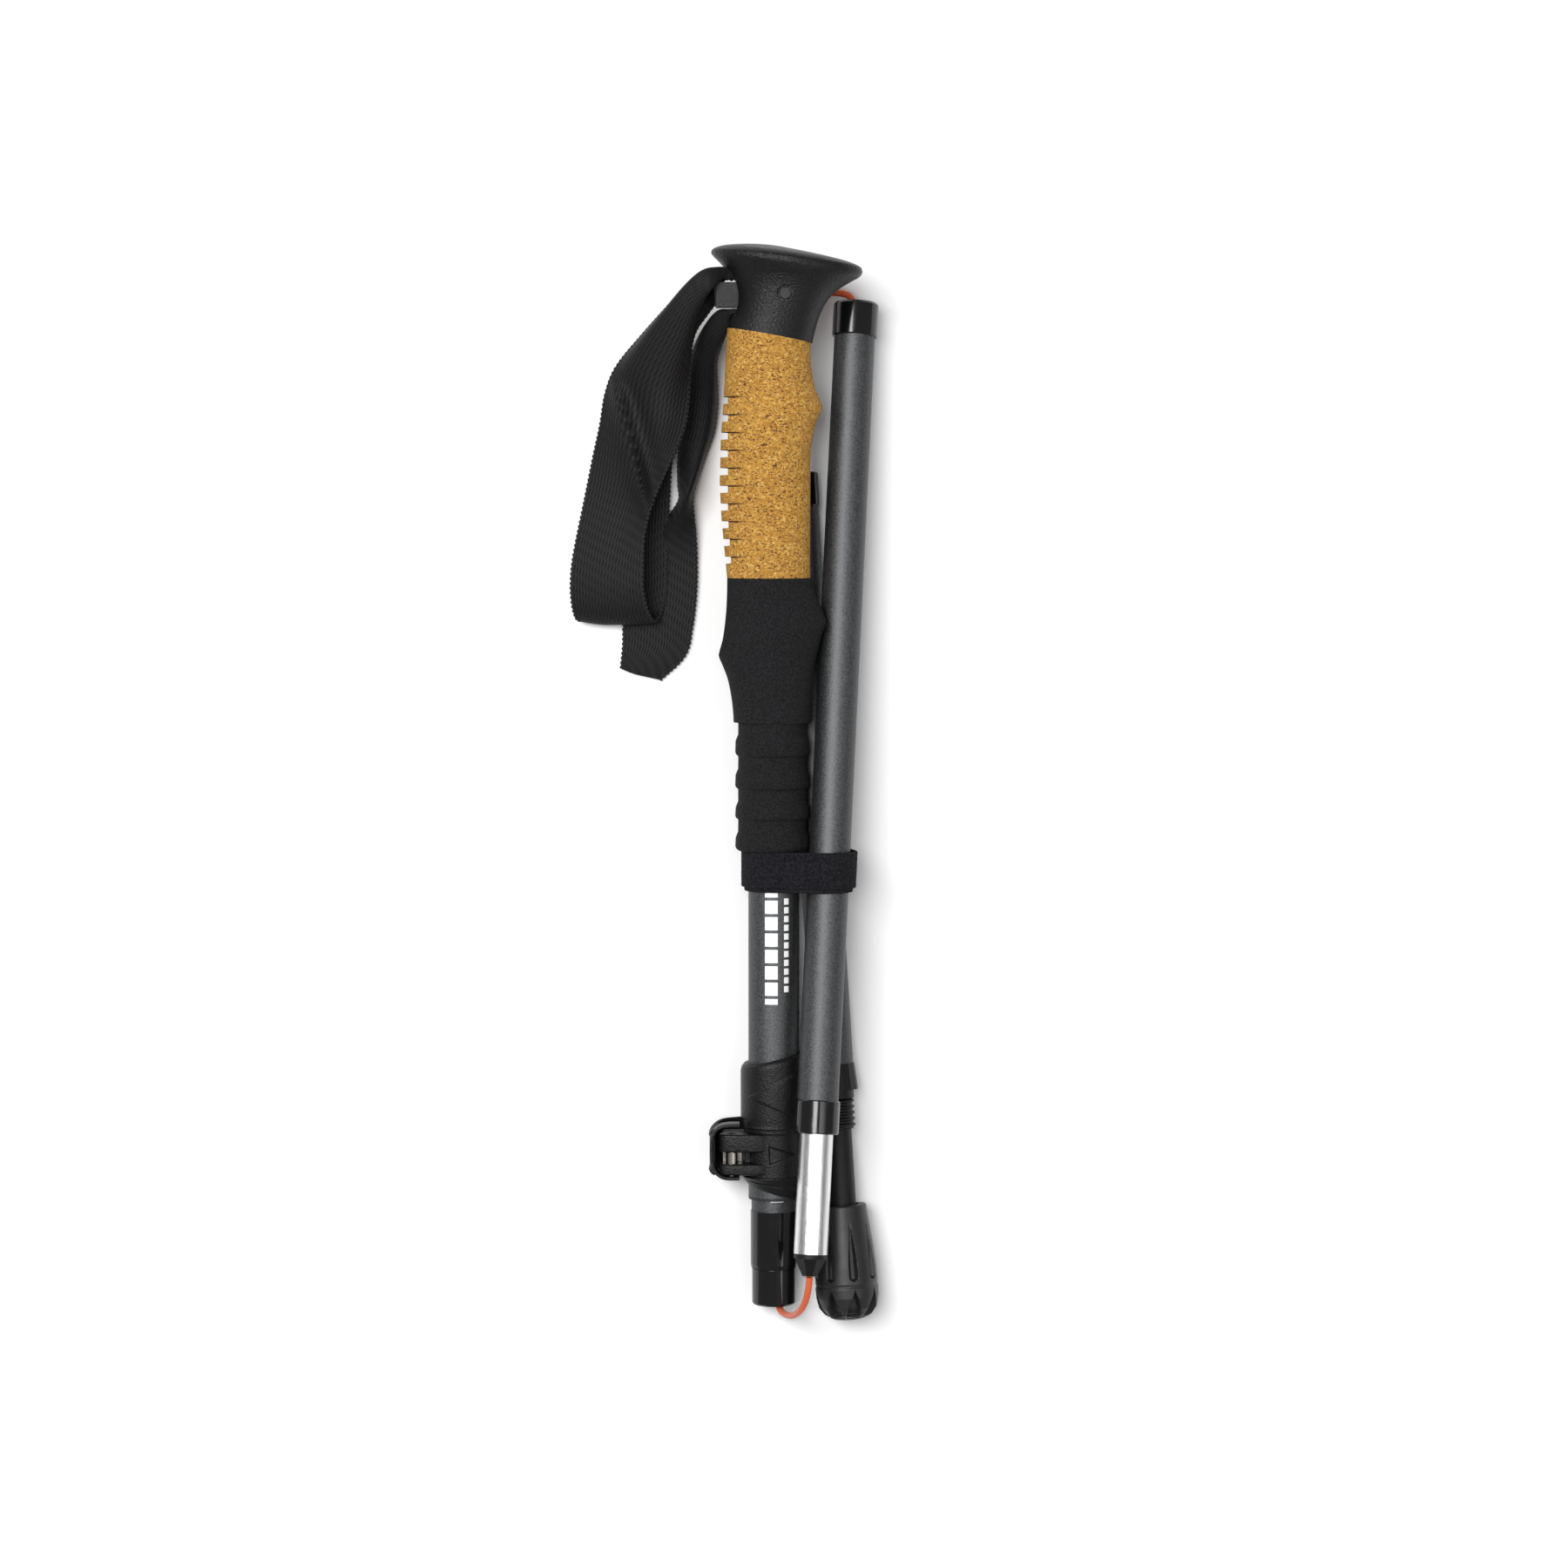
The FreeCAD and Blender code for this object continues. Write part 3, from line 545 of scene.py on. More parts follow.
FINISHES = {
    "head": grained_plastic("head_plastic", (0.014, 0.0145, 0.016), 0.34, 0.46, 1200.0, 0.00035),
    "pin": grained_plastic("pin_plastic", (0.024, 0.0245, 0.026), 0.35, 0.5, 1500.0),
    "wedge": grained_plastic("wedge_plastic", (0.02, 0.0205, 0.022), 0.4, 0.55),
    "clamp": grained_plastic("clamp_plastic", (0.013, 0.0135, 0.014), 0.34, 0.5, 1300.0, 0.00025),
    "tip": grained_plastic("tip_plastic", (0.012, 0.0125, 0.013), 0.4, 0.55),
    "inner": grained_plastic("inner_plastic", (0.06, 0.06, 0.062), 0.45, 0.6),
    "gloss": gloss_plastic("gloss_plastic"),
    "tube": anodised("anodised_tube"),
    "outer_tube": anodised("anodised_outer", shaft_stripes),
    "scale_tube": anodised("anodised_scale", height_ticks),
    "spigot": brushed("drawn_aluminium", (0.90, 0.90, 0.91), 0.16, 0.34),
    "steel": brushed("turned_steel", (0.36, 0.34, 0.30), 0.16, 0.34),
    "cork": cork_finish(),
    "foam": foam_finish(),
    "webbing": webbing_finish(),
    "edging": edging_finish(),
    "pile": pile_finish(),
    "braid": braid_finish(),
    "clear": clear_finish(),
    "rubber": rubber_finish(),
    "floor": floor_finish(),
}


def painted(piece, finish):
    piece.data.materials.clear()
    piece.data.materials.append(FINISHES[finish].material)


def placed(piece, finish, body, slot, *replaced):
    """Gives a new piece its finish and body, and hides what it stands for. slot is not used."""
    painted(piece, finish)
    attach(piece, body)
    if replaced:
        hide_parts(*replaced)
    return piece


# ---- grip head ----

HEAD_PAIRS = [
    (-16.0, 345.4, 13.5, 340.2, 12.6),
    (-15.4, 347.8, 14.5, 344.4, 12.7),
    (-14.3, 351.0, 15.7, 348.6, 12.9),
    (-13.6, 354.2, 17.4, 352.6, 13.2),
    (-13.5, 357.4, 19.8, 356.2, 13.6),
    (-14.2, 360.8, 23.2, 359.2, 14.2),
    (-16.0, 364.6, 27.2, 361.6, 15.2),
    (-18.6, 367.9, 29.8, 363.0, 16.3),
    (-21.3, 370.6, 30.9, 364.3, 17.1),
    (-21.9, 372.0, 31.0, 365.6, 17.2),
    (-20.8, 373.3, 29.9, 367.0, 16.7),
    (-16.8, 374.4, 25.0, 368.9, 14.2),
    (-8.5, 374.8, 15.5, 371.2, 8.2),
    (-1.0, 374.4, 8.0, 372.7, 3.0),
    (3.4, 373.7, 3.6, 373.7, 0.1),
]
SLOT = ((-30.0, 7.5), (-5.0, 5.0), (349.6, 366.0))
STRAP_PIN_AT = (4.0, 356.9)
PIN_BORE = 1.85
PIN_RECESS = 2.95
RECESS_FLOOR = 11.8


def box_cutter(x, up, station):
    """A hidden block that a Boolean modifier takes away."""
    corners = [HANDLE.at(a, b, c) for c in station for b in up for a in x]
    faces = [(0, 1, 3, 2), (4, 6, 7, 5), (0, 4, 5, 1), (2, 3, 7, 6), (0, 2, 6, 4), (1, 5, 7, 3)]
    mesh = bpy.data.meshes.new("cutter")
    mesh.from_pydata(corners, [], faces)
    return outward(linked("cutter", mesh))


def cut_away(piece, *cutters):
    for cutter in cutters:
        cutting = piece.modifiers.new("cut", "BOOLEAN")
        cutting.operation = "DIFFERENCE"
        cutting.object = cutter
    apply_modifiers(piece)
    for cutter in cutters:
        bpy.data.objects.remove(cutter)
    return piece


def round_cutter(x, station, radius, low, high):
    """A round block whose axis points up from the handle."""
    c, s = circle(40)
    rows = [np.column_stack([x + radius * c, 0 * c + up, station + radius * s]) for up in (low, high)]
    return solid("cutter", HANDLE.points(rows))


def make_head():
    head = solid("grip_head", paired_loft(HEAD_PAIRS, 120, 8))
    cut_away(head, box_cutter(*SLOT),
             round_cutter(*STRAP_PIN_AT, PIN_RECESS, RECESS_FLOOR, 40.0),
             round_cutter(*STRAP_PIN_AT, PIN_RECESS, -40.0, -RECESS_FLOOR),
             round_cutter(*STRAP_PIN_AT, PIN_BORE, -30.0, 30.0))
    sharpened(head, 38)
    placed(head, "head", "handle", "head_black", "pommel")


# ---- cork and foam ----

CORK_TOP = 342.6
HEAD_TILT = 0.175
FOAM_TOP = 258.0
CORK_LEFT = [(257.9, -16.4), (266.0, -17.2), (272.7, -17.8), (279.0, -18.4), (285.0, -18.7),
             (291.0, -19.0), (297.2, -18.8), (303.3, -18.7), (309.7, -18.4), (320.6, -17.6),
             (333.0, -17.0), (346.0, -16.2)]
CORK_RIGHT = [(257.9, 12.8), (301.0, 12.9), (307.8, 13.7), (313.9, 15.3), (317.6, 17.4),
              (320.6, 16.0), (326.2, 14.0), (332.3, 13.1), (339.0, 12.9), (346.0, 13.2)]
GROOVES = [263.1 + 6.21 * i for i in range(10)]
GROOVE_WIDE = 2.4
GROOVE_FLOOR = -16.0
CORK_DEPTH = 12.7


def groove_stations():
    """Stations along the cork: close together at each groove's two walls."""
    fine = np.arange(FOAM_TOP, CORK_TOP + 4.0, 0.7)
    walls = [g + d for g in GROOVES for d in (-0.12, 0.0, 0.12)]
    walls += [g + GROOVE_WIDE + d for g in GROOVES for d in (-0.7, -0.45, -0.2, -0.1, 0.0, 0.1)]
    return np.unique(np.round(np.concatenate([fine, walls]), 3))


def make_cork():
    stations = groove_stations()
    left = softened(stations, CORK_LEFT, 2.0)
    right = softened(stations, CORK_RIGHT, 1.6)
    x, up = ring_points(left, right, np.full(len(stations), CORK_DEPTH), 200)
    station = np.repeat(stations[:, None], x.shape[1], 1)
    for index, groove in enumerate(GROOVES):
        floor = GROOVE_FLOOR + 1.2 * smooth_step(index, 3, -1)
        end = groove + GROOVE_WIDE
        into = smooth_step(station, groove - 0.12, groove) * (1 - smooth_step(station, end - 0.1, end))
        x = np.where((into > 0) & (x < floor), x + into * (floor - x), x)
        fade = 1 - smooth_step(x, -15.5, -9.5)
        crack = smooth_step(station, end - 0.7, end - 0.1) \
            * (1 - smooth_step(station, end - 0.05, end + 0.05))
        up = up * (1 - 0.06 * crack * fade * (x > floor - 0.01))
    station = np.minimum(station, CORK_TOP - HEAD_TILT * x)
    cork = solid("cork_sleeve", HANDLE.points(np.stack([x, up, station], -1)), 42)
    placed(cork, "cork", "handle", "cork", "cork_grip")


FOAM_PAIRS = [
    (-14.2, 207.2, 13.4, 207.2, 12.3),
    (-14.4, 211.0, 13.6, 211.0, 12.3),
    (-15.0, 216.1, 13.8, 217.5, 12.3),
    (-16.2, 222.2, 14.3, 225.9, 12.4),
    (-17.9, 226.8, 15.2, 231.0, 12.5),
    (-19.3, 230.2, 17.0, 238.0, 12.8),
    (-19.2, 232.0, 18.5, 242.4, 13.0),
    (-17.9, 237.0, 17.6, 245.6, 12.7),
    (-16.9, 245.0, 15.3, 251.0, 12.5),
    (-16.5, 252.0, 14.0, 254.8, 12.6),
    (-16.4, FOAM_TOP, 13.5, FOAM_TOP, 12.7),
]
RIBS = [(162.4, 168.0), (173.2, 178.8), (184.0, 190.2), (195.7, 202.3)]


def make_foam():
    """Swollen upper grip and a ribbed lower part, in one moulding."""
    grip = solid("foam_swell", paired_loft(FOAM_PAIRS, 144, 9), 50)
    corners = [(161.9, 12.25)]
    for low, high in RIBS:
        corners += [(low, 13.0), (low + 0.9, 13.35), (high - 1.6, 13.2), (high, 12.6),
                    (high + 0.4, 12.35), (high + 5.0, 12.3)]
    stations = np.arange(161.9, 207.6, 0.28)
    radius = softened(stations, corners, 0.35)
    x, up = ring_points(-0.1 - radius * 0.985, 0.1 + radius * 0.965, radius * 0.96, 144)
    x -= 0.35
    wobble = np.array([[noise.noise(Vector((a * 0.25, b * 0.25, s * 0.12))) * 0.12
                        for a, b in zip(xs[::4], ups[::4])]
                       for xs, ups, s in zip(x, up, stations)]).repeat(4, 1)
    scale = 1 + wobble / 13
    local = np.stack([x * scale, up * scale, np.repeat(stations[:, None], 144, 1)], -1)
    ribbed = solid("foam_ribs", HANDLE.points(local), 60)
    for piece in (grip, ribbed):
        placed(piece, "foam", "handle", "foam_black", "foam_grip")


# ---- webbing ----

WEBBING_WIDE = 25.0
WEBBING_THICK = 1.3

# Each row is four points across the band, from its left edge to its right, in millimetres in
# the table frame.
LOOP_ROWS = [
    [(-12.2, 179.1, 35.0), (-12.1, 179.5, 37.0), (-12.0, 177.5, 37.8), (-12.1, 176.8, 36.0)],
    [(-18.2, 179.1, 35.8), (-18.1, 179.5, 38.0), (-18.0, 177.5, 38.8), (-18.1, 176.8, 37.4)],
    [(-22.2, 179.3, 37.2), (-21.8, 179.8, 39.7), (-21.3, 177.8, 40.1), (-21.4, 176.9, 38.9)],
    [(-27.6, 178.6, 38.4), (-27.6, 178.4, 42.0), (-25.4, 173.6, 42.2), (-25.2, 173.2, 40.7)],
    [(-33.4, 174.6, 35.6), (-33.0, 174.2, 40.8), (-28.8, 169.8, 40.8), (-28.4, 169.2, 38.2)],
    [(-41.2, 167.0, 30.2), (-39.4, 166.8, 37.2), (-32.4, 163.4, 37.8), (-31.6, 162.8, 32.4)],
    [(-50.4, 157.6, 24.0), (-46.6, 157.4, 31.6), (-35.6, 155.2, 34.0), (-33.0, 154.4, 27.6)],
    [(-59.0, 147.8, 18.6), (-52.8, 148.0, 26.0), (-39.6, 147.0, 30.2), (-33.4, 145.0, 25.0)],
    [(-63.0, 138.6, 15.6), (-56.0, 139.2, 21.8), (-42.8, 138.0, 26.6), (-33.8, 136.0, 23.2)],
    [(-65.0, 127.6, 14.0), (-57.4, 128.0, 18.8), (-44.4, 127.6, 23.8), (-35.0, 127.4, 22.4)],
    [(-67.4, 116.8, 12.8), (-58.8, 117.0, 16.8), (-46.8, 117.6, 20.6), (-38.2, 118.6, 20.6)],
    [(-69.6, 106.0, 12.2), (-60.4, 106.2, 15.2), (-49.8, 107.6, 18.0), (-42.6, 109.4, 19.0)],
    [(-71.6, 96.2, 12.2), (-62.8, 96.6, 14.0), (-53.2, 97.8, 16.0), (-46.8, 99.4, 17.4)],
    [(-73.5, 87.0, 12.3), (-65.2, 87.2, 13.5), (-56.2, 87.8, 14.8), (-49.6, 88.8, 16.0)],
    [(-75.1, 77.8, 12.0), (-66.9, 77.8, 13.2), (-58.2, 77.8, 14.2), (-50.2, 77.8, 15.2)],
    [(-75.6, 69.4, 10.8), (-67.4, 69.2, 12.2), (-58.8, 69.0, 13.4), (-50.2, 68.8, 14.2)],
    [(-75.0, 62.4, 8.6), (-66.8, 61.4, 9.8), (-58.0, 61.2, 10.8), (-48.6, 61.4, 11.4)],
    [(-73.6, 58.8, 5.4), (-65.2, 57.6, 5.8), (-56.2, 57.6, 6.2), (-46.4, 58.2, 6.4)],
    [(-71.6, 60.4, 2.4), (-63.4, 59.6, 2.2), (-54.4, 60.0, 2.2), (-44.0, 61.4, 2.4)],
    [(-67.6, 68.4, 1.4), (-59.4, 68.0, 1.3), (-50.6, 68.4, 1.4), (-42.4, 69.4, 1.6)],
    [(-66.8, 82.0, 1.6), (-58.6, 82.0, 1.6), (-50.4, 82.0, 1.8), (-42.0, 82.6, 2.2)],
    [(-66.4, 98.0, 2.4), (-58.0, 98.0, 2.6), (-50.0, 98.2, 3.0), (-41.6, 98.6, 3.6)],
    [(-64.4, 114.0, 4.6), (-56.4, 114.0, 5.4), (-48.4, 114.2, 6.4), (-40.4, 115.0, 7.4)],
    [(-60.8, 128.0, 8.6), (-53.2, 128.2, 11.0), (-45.4, 128.0, 12.6), (-38.0, 127.6, 13.4)],
    [(-54.4, 141.0, 13.6), (-49.0, 141.8, 18.0), (-41.8, 141.0, 20.0), (-35.6, 139.0, 18.6)],
    [(-46.8, 152.6, 19.0), (-43.8, 153.2, 24.6), (-37.6, 151.0, 25.8), (-33.8, 148.8, 20.8)],
    [(-39.6, 163.0, 24.2), (-38.2, 163.2, 29.4), (-33.0, 159.8, 29.6), (-31.8, 158.8, 24.4)],
    [(-32.4, 171.0, 26.0), (-31.8, 171.2, 28.8), (-27.8, 166.6, 28.4), (-27.2, 165.8, 25.6)],
    [(-25.6, 175.9, 26.6), (-25.2, 176.5, 28.8), (-22.8, 172.9, 27.2), (-22.8, 171.9, 25.2)],
    [(-21.8, 178.9, 29.4), (-21.6, 179.5, 31.4), (-21.3, 177.7, 29.7), (-21.3, 177.2, 28.8)],
    [(-18.2, 179.0, 30.8), (-18.1, 179.5, 32.6), (-18.0, 177.9, 30.8), (-18.1, 177.3, 30.6)],
    [(-12.2, 179.0, 31.4), (-12.1, 179.4, 33.0), (-12.0, 177.9, 31.2), (-12.1, 177.3, 31.2)],
]
TAIL_ROWS = [
    [(-12.2, 165.6, 31.2), (-12.1, 165.7, 34.5), (-12.0, 165.0, 34.8), (-12.1, 164.9, 31.6)],
    [(-18.6, 165.6, 30.2), (-18.5, 165.8, 33.8), (-18.4, 164.9, 34.2), (-18.5, 164.8, 30.8)],
    [(-23.4, 165.2, 27.0), (-23.0, 165.2, 31.6), (-20.2, 160.2, 31.6), (-20.2, 159.8, 27.0)],
    [(-28.4, 160.0, 21.0), (-27.6, 160.0, 27.4), (-23.0, 155.6, 27.6), (-22.4, 155.2, 21.4)],
    [(-32.2, 153.0, 13.6), (-31.2, 153.2, 21.0), (-25.6, 150.4, 21.6), (-24.2, 150.0, 14.6)],
    [(-33.8, 145.0, 7.4), (-32.8, 145.0, 14.8), (-26.2, 143.6, 15.8), (-24.2, 143.2, 8.6)],
    [(-34.8, 136.0, 3.4), (-33.6, 136.0, 10.6), (-26.6, 135.4, 11.6), (-24.2, 135.2, 4.8)],
    [(-36.2, 126.0, 1.6), (-35.0, 126.0, 8.4), (-28.0, 126.0, 10.0), (-25.4, 126.2, 3.6)],
    [(-37.6, 116.4, 1.4), (-36.2, 116.4, 8.0), (-30.2, 116.6, 11.2), (-28.6, 117.0, 4.4)],
    [(-37.6, 107.6, 1.6), (-36.2, 107.6, 8.2), (-32.6, 107.8, 14.0), (-31.4, 108.2, 7.4)],
    [(-37.4, 101.6, 2.2), (-36.4, 101.6, 8.6), (-34.6, 101.8, 13.6), (-32.8, 102.0, 8.4)],
    [(-41.4, 95.6, 1.6), (-38.4, 95.8, 5.4), (-35.6, 96.2, 8.6), (-32.6, 96.6, 6.4)],
    [(-48.4, 88.4, 1.2), (-43.0, 88.6, 2.6), (-37.4, 89.2, 4.2), (-32.0, 89.8, 4.2)],
    [(-54.2, 79.6, 1.1), (-46.6, 79.8, 1.3), (-39.2, 80.2, 1.8), (-31.6, 80.6, 2.4)],
    [(-56.4, 69.4, 1.1), (-48.2, 69.2, 1.2), (-40.0, 69.0, 1.4), (-31.8, 68.8, 1.9)],
    [(-57.2, 58.8, 1.1), (-49.0, 58.0, 1.1), (-41.0, 57.2, 1.2), (-33.2, 56.4, 1.4)],
    [(-57.4, 49.6, 1.1), (-49.6, 48.4, 1.1), (-42.2, 47.2, 1.1), (-35.8, 46.2, 1.2)],
    [(-58.2, 41.2, 1.1), (-53.6, 39.4, 1.1), (-49.2, 38.4, 1.1), (-44.6, 37.4, 1.1)],
]
# The ends of the long diagonal fold in the loop's front layer, in the table frame.
CREASE = ((-60.6, 145.0), (-49.0, 97.0))


def creased(grid):
    """Raises a ridge along the crease, where the front layer is."""
    (ax, ay), (bx, by) = CREASE
    square = (bx - ax) ** 2 + (by - ay) ** 2
    share = ((grid[..., 0] - ax) * (bx - ax) + (grid[..., 1] - ay) * (by - ay)) / square
    off = off_line(grid[..., 0], grid[..., 1], *CREASE)
    rise = 3.4 * np.exp(-np.abs(off) / 2.6)
    rise -= 1.6 * smooth_step(off, 0.5, 4.5) * smooth_step(off, 12.0, 5.0)
    ends = smooth_step(share, -0.15, 0.25) * smooth_step(share, 1.2, 0.75)
    grid[..., 2] += rise * ends * smooth_step(grid[..., 2], 10.5, 13.5)
    return grid


def band_grid(rows, per_row=22, per_column=7):
    """A smooth grid of points along a band, and its flat coordinates in metres."""
    grid = catmull(rows, per_row)
    grid = catmull(grid.transpose(1, 0, 2), per_column).transpose(1, 0, 2)
    grid = table(creased(grid))
    run = run_along(grid[:, grid.shape[1] // 2])
    u = np.linspace(0, WEBBING_WIDE * MM, grid.shape[1])
    uv = np.stack(np.meshgrid(u, run), -1)
    return grid, uv, run[-1]


def overlocked_edge(name, line, radius=0.8, pitch=1.7):
    """The looped selvedge along one edge of the webbing, as a beaded thread."""
    run = run_along(line)
    fine = np.arange(0, run[-1], 0.00022)
    path = np.stack([np.interp(fine, run, line[:, i]) for i in range(3)], -1)
    ahead = unit(np.gradient(path, axis=0))
    side = unit(np.cross(ahead, (0.15, 0.1, 1.0)))
    over = np.cross(side, ahead)
    bead = radius * MM * (0.4 + 0.6 * np.abs(np.sin(np.pi * fine / (pitch * MM))))
    c, s = circle(8)
    ring = side[:, None] * c[:, None] + over[:, None] * s[:, None]
    return solid(name, path[:, None] + ring * bead[:, None, None])


def make_band(name, rows):
    grid, uv, length = band_grid(rows)
    band = grid_mesh(name, grid, uv=uv)
    thickened(band, WEBBING_THICK)
    apply_modifiers(band)
    sharpened(band, 55)
    placed(band, "webbing", "handle", "webbing_black", "wrist_strap")
    for side, column in (("left", 0), ("right", -1)):
        edge = overlocked_edge(f"{name}_{side}_edge", grid[:, column])
        placed(edge, "edging", "handle", "webbing_black")


# ---- clamp ----

COLLAR_PROFILE = [(40.6, 9.5), (41.0, 9.85), (43.4, 10.62), (43.6, 10.3), (43.9, 10.45),
                  (46.0, 11.45), (46.3, 11.45), (46.5, 10.7), (62.3, 10.7), (66.7, 10.72),
                  (67.0, 11.75), (85.8, 11.8), (87.2, 11.55), (88.2, 10.7)]
COLLAR_FRONT = [(46.0, 0.0), (61.9, 0.0), (62.2, 0.75), (63.6, 0.75), (63.9, 1.1), (64.3, 1.1),
                (64.6, 0.95), (66.7, 0.98), (67.0, 0.0)]
LEVER_STATIONS = (46.2, 65.2)
LEVER_LINE = [(-20.9, 9.6), (-21.75, 8.2), (-22.0, 6.5), (-21.8, 1.0), (-20.3, -4.2),
              (-16.9, -8.6), (-12.2, -11.5), (-7.2, -12.9), (-2.6, -13.35)]
LEVER_WALL = 0.72
LEVER_LONG = 20.1
LEVER_RIM = [(-12.1, 65.2), (-16.5, 65.1), (-19.6, 64.2), (-21.5, 61.6), (-22.0, 56.8),
             (-21.6, 51.2), (-20.0, 48.1), (-17.0, 46.5), (-12.1, 46.4)]
PIN_X, PIN_UP = -14.9, 7.4
PIN_HOLE = 1.46
COLLAR_BORE = 9.08
POCKET = [(-1.9, 58.0), (7.8, 54.7), (-1.6, 51.2)]
EARS = {"ear_low": (47.5, 51.4), "ear_high": (55.7, 62.0)}
LUG_HOLE = (PIN_X, 53.3, 1.65)
LUGS = {"lug_upper": (0.5, 3.1), "lug_lower": (-4.0, -0.5)}


def inside_front(x, station, corners):
    """1 inside a triangle of (x, station) corners, with a 0.45 mm soft edge."""
    inside = np.ones_like(x)
    for start, end in zip(corners, corners[1:] + corners[:1]):
        inside = inside * smooth_step(-off_line(x, station, start, end), -0.1, 0.35)
    return inside


def make_collar():
    """Clamp collar: slanted sleeve with a raised chevron, waist, flanges and flared skirt."""
    stations = np.unique(np.concatenate([np.arange(40.6, 88.3, 0.3),
                                         [c[0] for c in COLLAR_PROFILE + COLLAR_FRONT]]))
    radius = softened(stations, COLLAR_PROFILE, 0.18)[:, None]
    c, sn = circle(240)
    s = stations[:, None]
    front = smooth_step(sn, -0.15, 0.1) * smooth_step(c, -0.95, -0.8)
    radius = radius + front * softened(stations, COLLAR_FRONT, 0.15)[:, None]
    x = radius * c
    chevron = smooth_step(77.3 + 0.389 * (x + 5.8) - s, -0.2, 0.3) \
        * smooth_step(s - (75.5 - 0.474 * (x + 8.4)), -0.2, 0.3) * smooth_step(sn, 0.0, 0.2)
    pocket = inside_front(x, s + 0 * x, POCKET) * (sn > 0)
    radius = radius + 0.45 * chevron - 0.8 * pocket
    slant = 0.2 * smooth_step(s, 67.0, 88.2) - 0.3 * smooth_step(s, 46.2, 40.6)
    station = s + slant * radius * c
    shell = np.stack([radius * c, radius * sn, station], -1)
    bore = shell[::-1].copy()
    bore[..., :2] = COLLAR_BORE * np.stack([c, sn], -1)
    low, high = shell[0, :, 2] + 0.1, shell[-1, :, 2] - 0.1
    bore[..., 2] = np.clip(bore[..., 2], low, high)
    grid = HANDLE.points(np.concatenate([shell, bore[::12], bore[-1:], shell[:1]]))
    collar = outward(grid_mesh("collar_shell", grid, around=True), weld=True)
    cut_away(collar, box_cutter((-20.0, -7.4), (3.1, 14.0), (51.0, 55.6)),
             box_cutter((-30.0, -4.0), (-0.5, 0.5), (35.0, 66.5)))
    sharpened(collar, 42)
    placed(collar, "clamp", "handle", "clamp_black", "clamp_collar")
    for name, (low, high) in EARS.items():
        ear = cut_away(make_lobe(name, low, high, (-19.3, -1.8)), shaft_cutter(9.6, 40.0, 70.0))
        placed(ear, "clamp", "handle", "clamp_black", "clamp_collar")
    for name, up in LUGS.items():
        lug = box_cutter((-18.2, -9.6), up, (47.1, 61.9))
        lug.name = name
        cut_away(lug, round_cutter(*LUG_HOLE, -30.0, 30.0))
        rounded(lug, 0.4)
        apply_modifiers(lug)
        smoothed(lug, 50)
        placed(lug, "clamp", "handle", "clamp_black", "clamp_collar")


def shaft_cutter(radius, low, high):
    """A round block along the handle's axis."""
    c, s = circle(72)
    rows = [np.column_stack([radius * c, radius * s, 0 * c + station]) for station in (low, high)]
    return solid("cutter", HANDLE.points(rows))


def lever_ends(x):
    """Lowest and highest station of the lever at x: a flat C with round outer corners."""
    corner = np.clip((-17.0 - x) / 5.2, 0, 1)
    inset = 3.6 * (1 - np.sqrt(np.clip(1 - corner ** 2, 0, 1)))
    return LEVER_STATIONS[0] + inset, LEVER_STATIONS[1] - inset


def make_lever_shell():
    line = catmull(LEVER_LINE, 12)
    ahead = unit(np.gradient(line, axis=0))
    side = np.stack([-ahead[:, 1], ahead[:, 0]], -1)
    run = run_along(line)
    taper = np.sqrt(np.clip(np.minimum(run, run[-1] - run) / LEVER_WALL, 0.02, 1))
    low, high = lever_ends(line[:, 0])
    rows = []
    edge = LEVER_WALL * (1 - np.cos(np.linspace(0, np.pi / 2, 6)))
    across = np.concatenate([edge, np.linspace(1.4, 18.6, 24), LEVER_LONG - edge[::-1]])
    across = across / LEVER_LONG
    for t in across:
        d = min(t, 1 - t) * LEVER_LONG
        half = LEVER_WALL * math.sqrt(max(0.0016, 1 - max(0.0, 1 - d / LEVER_WALL) ** 2)) * taper
        rim = 0.28 * smooth_step(d, 2.1, 1.7)
        station = low + t * (high - low)
        out = np.concatenate([line - side * (half + rim * taper)[:, None],
                              (line + side * half[:, None])[::-1]])
        rows.append(np.column_stack([out, np.concatenate([station, station[::-1]])]))
    return solid("lever_shell", HANDLE.points(rows), 60)


def make_lobe(name, low, high, reach):
    """A round-cornered block between two x values, with the pin's bore through it."""
    c, sn = circle(96)
    outline = np.stack([squared(c, 0.625), squared(sn, 0.625)], -1)
    bore = np.array((PIN_X, PIN_UP)) + PIN_HOLE * np.stack([c, sn], -1)
    rows = [(bore, low)]
    soft = min(0.7, 0.4 * (high - low))
    for turn in np.linspace(0, np.pi / 2, 7):
        grow = soft * (1 - math.sin(turn))
        size = ((reach[1] - reach[0]) / 2 - grow, 3.6 - grow)
        rows.append((outline * size + (sum(reach) / 2, PIN_UP), low + soft * (1 - math.cos(turn))))
    rows += [(points, low + high - station) for points, station in rows[::-1]] + rows[:1]
    grid = [np.column_stack([points, 0 * c + station]) for points, station in rows]
    return outward(grid_mesh(name, HANDLE.points(grid), around=True, sharp=60), weld=True)


def make_lever_rim():
    """The C-shaped wall round the open side of the lever."""
    path = catmull(LEVER_RIM, 12)
    ahead = unit(np.gradient(path, axis=0))
    c, sn = circle(40)
    out, lift = 0.68 * squared(c, 0.45), 3.6 * squared(sn, 0.35)
    rows = [np.column_stack([x - out * along[1], 7.5 + lift, station + out * along[0]])
            for (x, station), along in zip(path, ahead)]
    return solid("lever_rim", HANDLE.points(rows), 60)


def make_lever():
    for piece in (make_lever_shell(), make_lever_rim()):
        placed(piece, "clamp", "clamp_lever", "clamp_black", "clamp_lever")


# ---- hook-and-loop strap ----

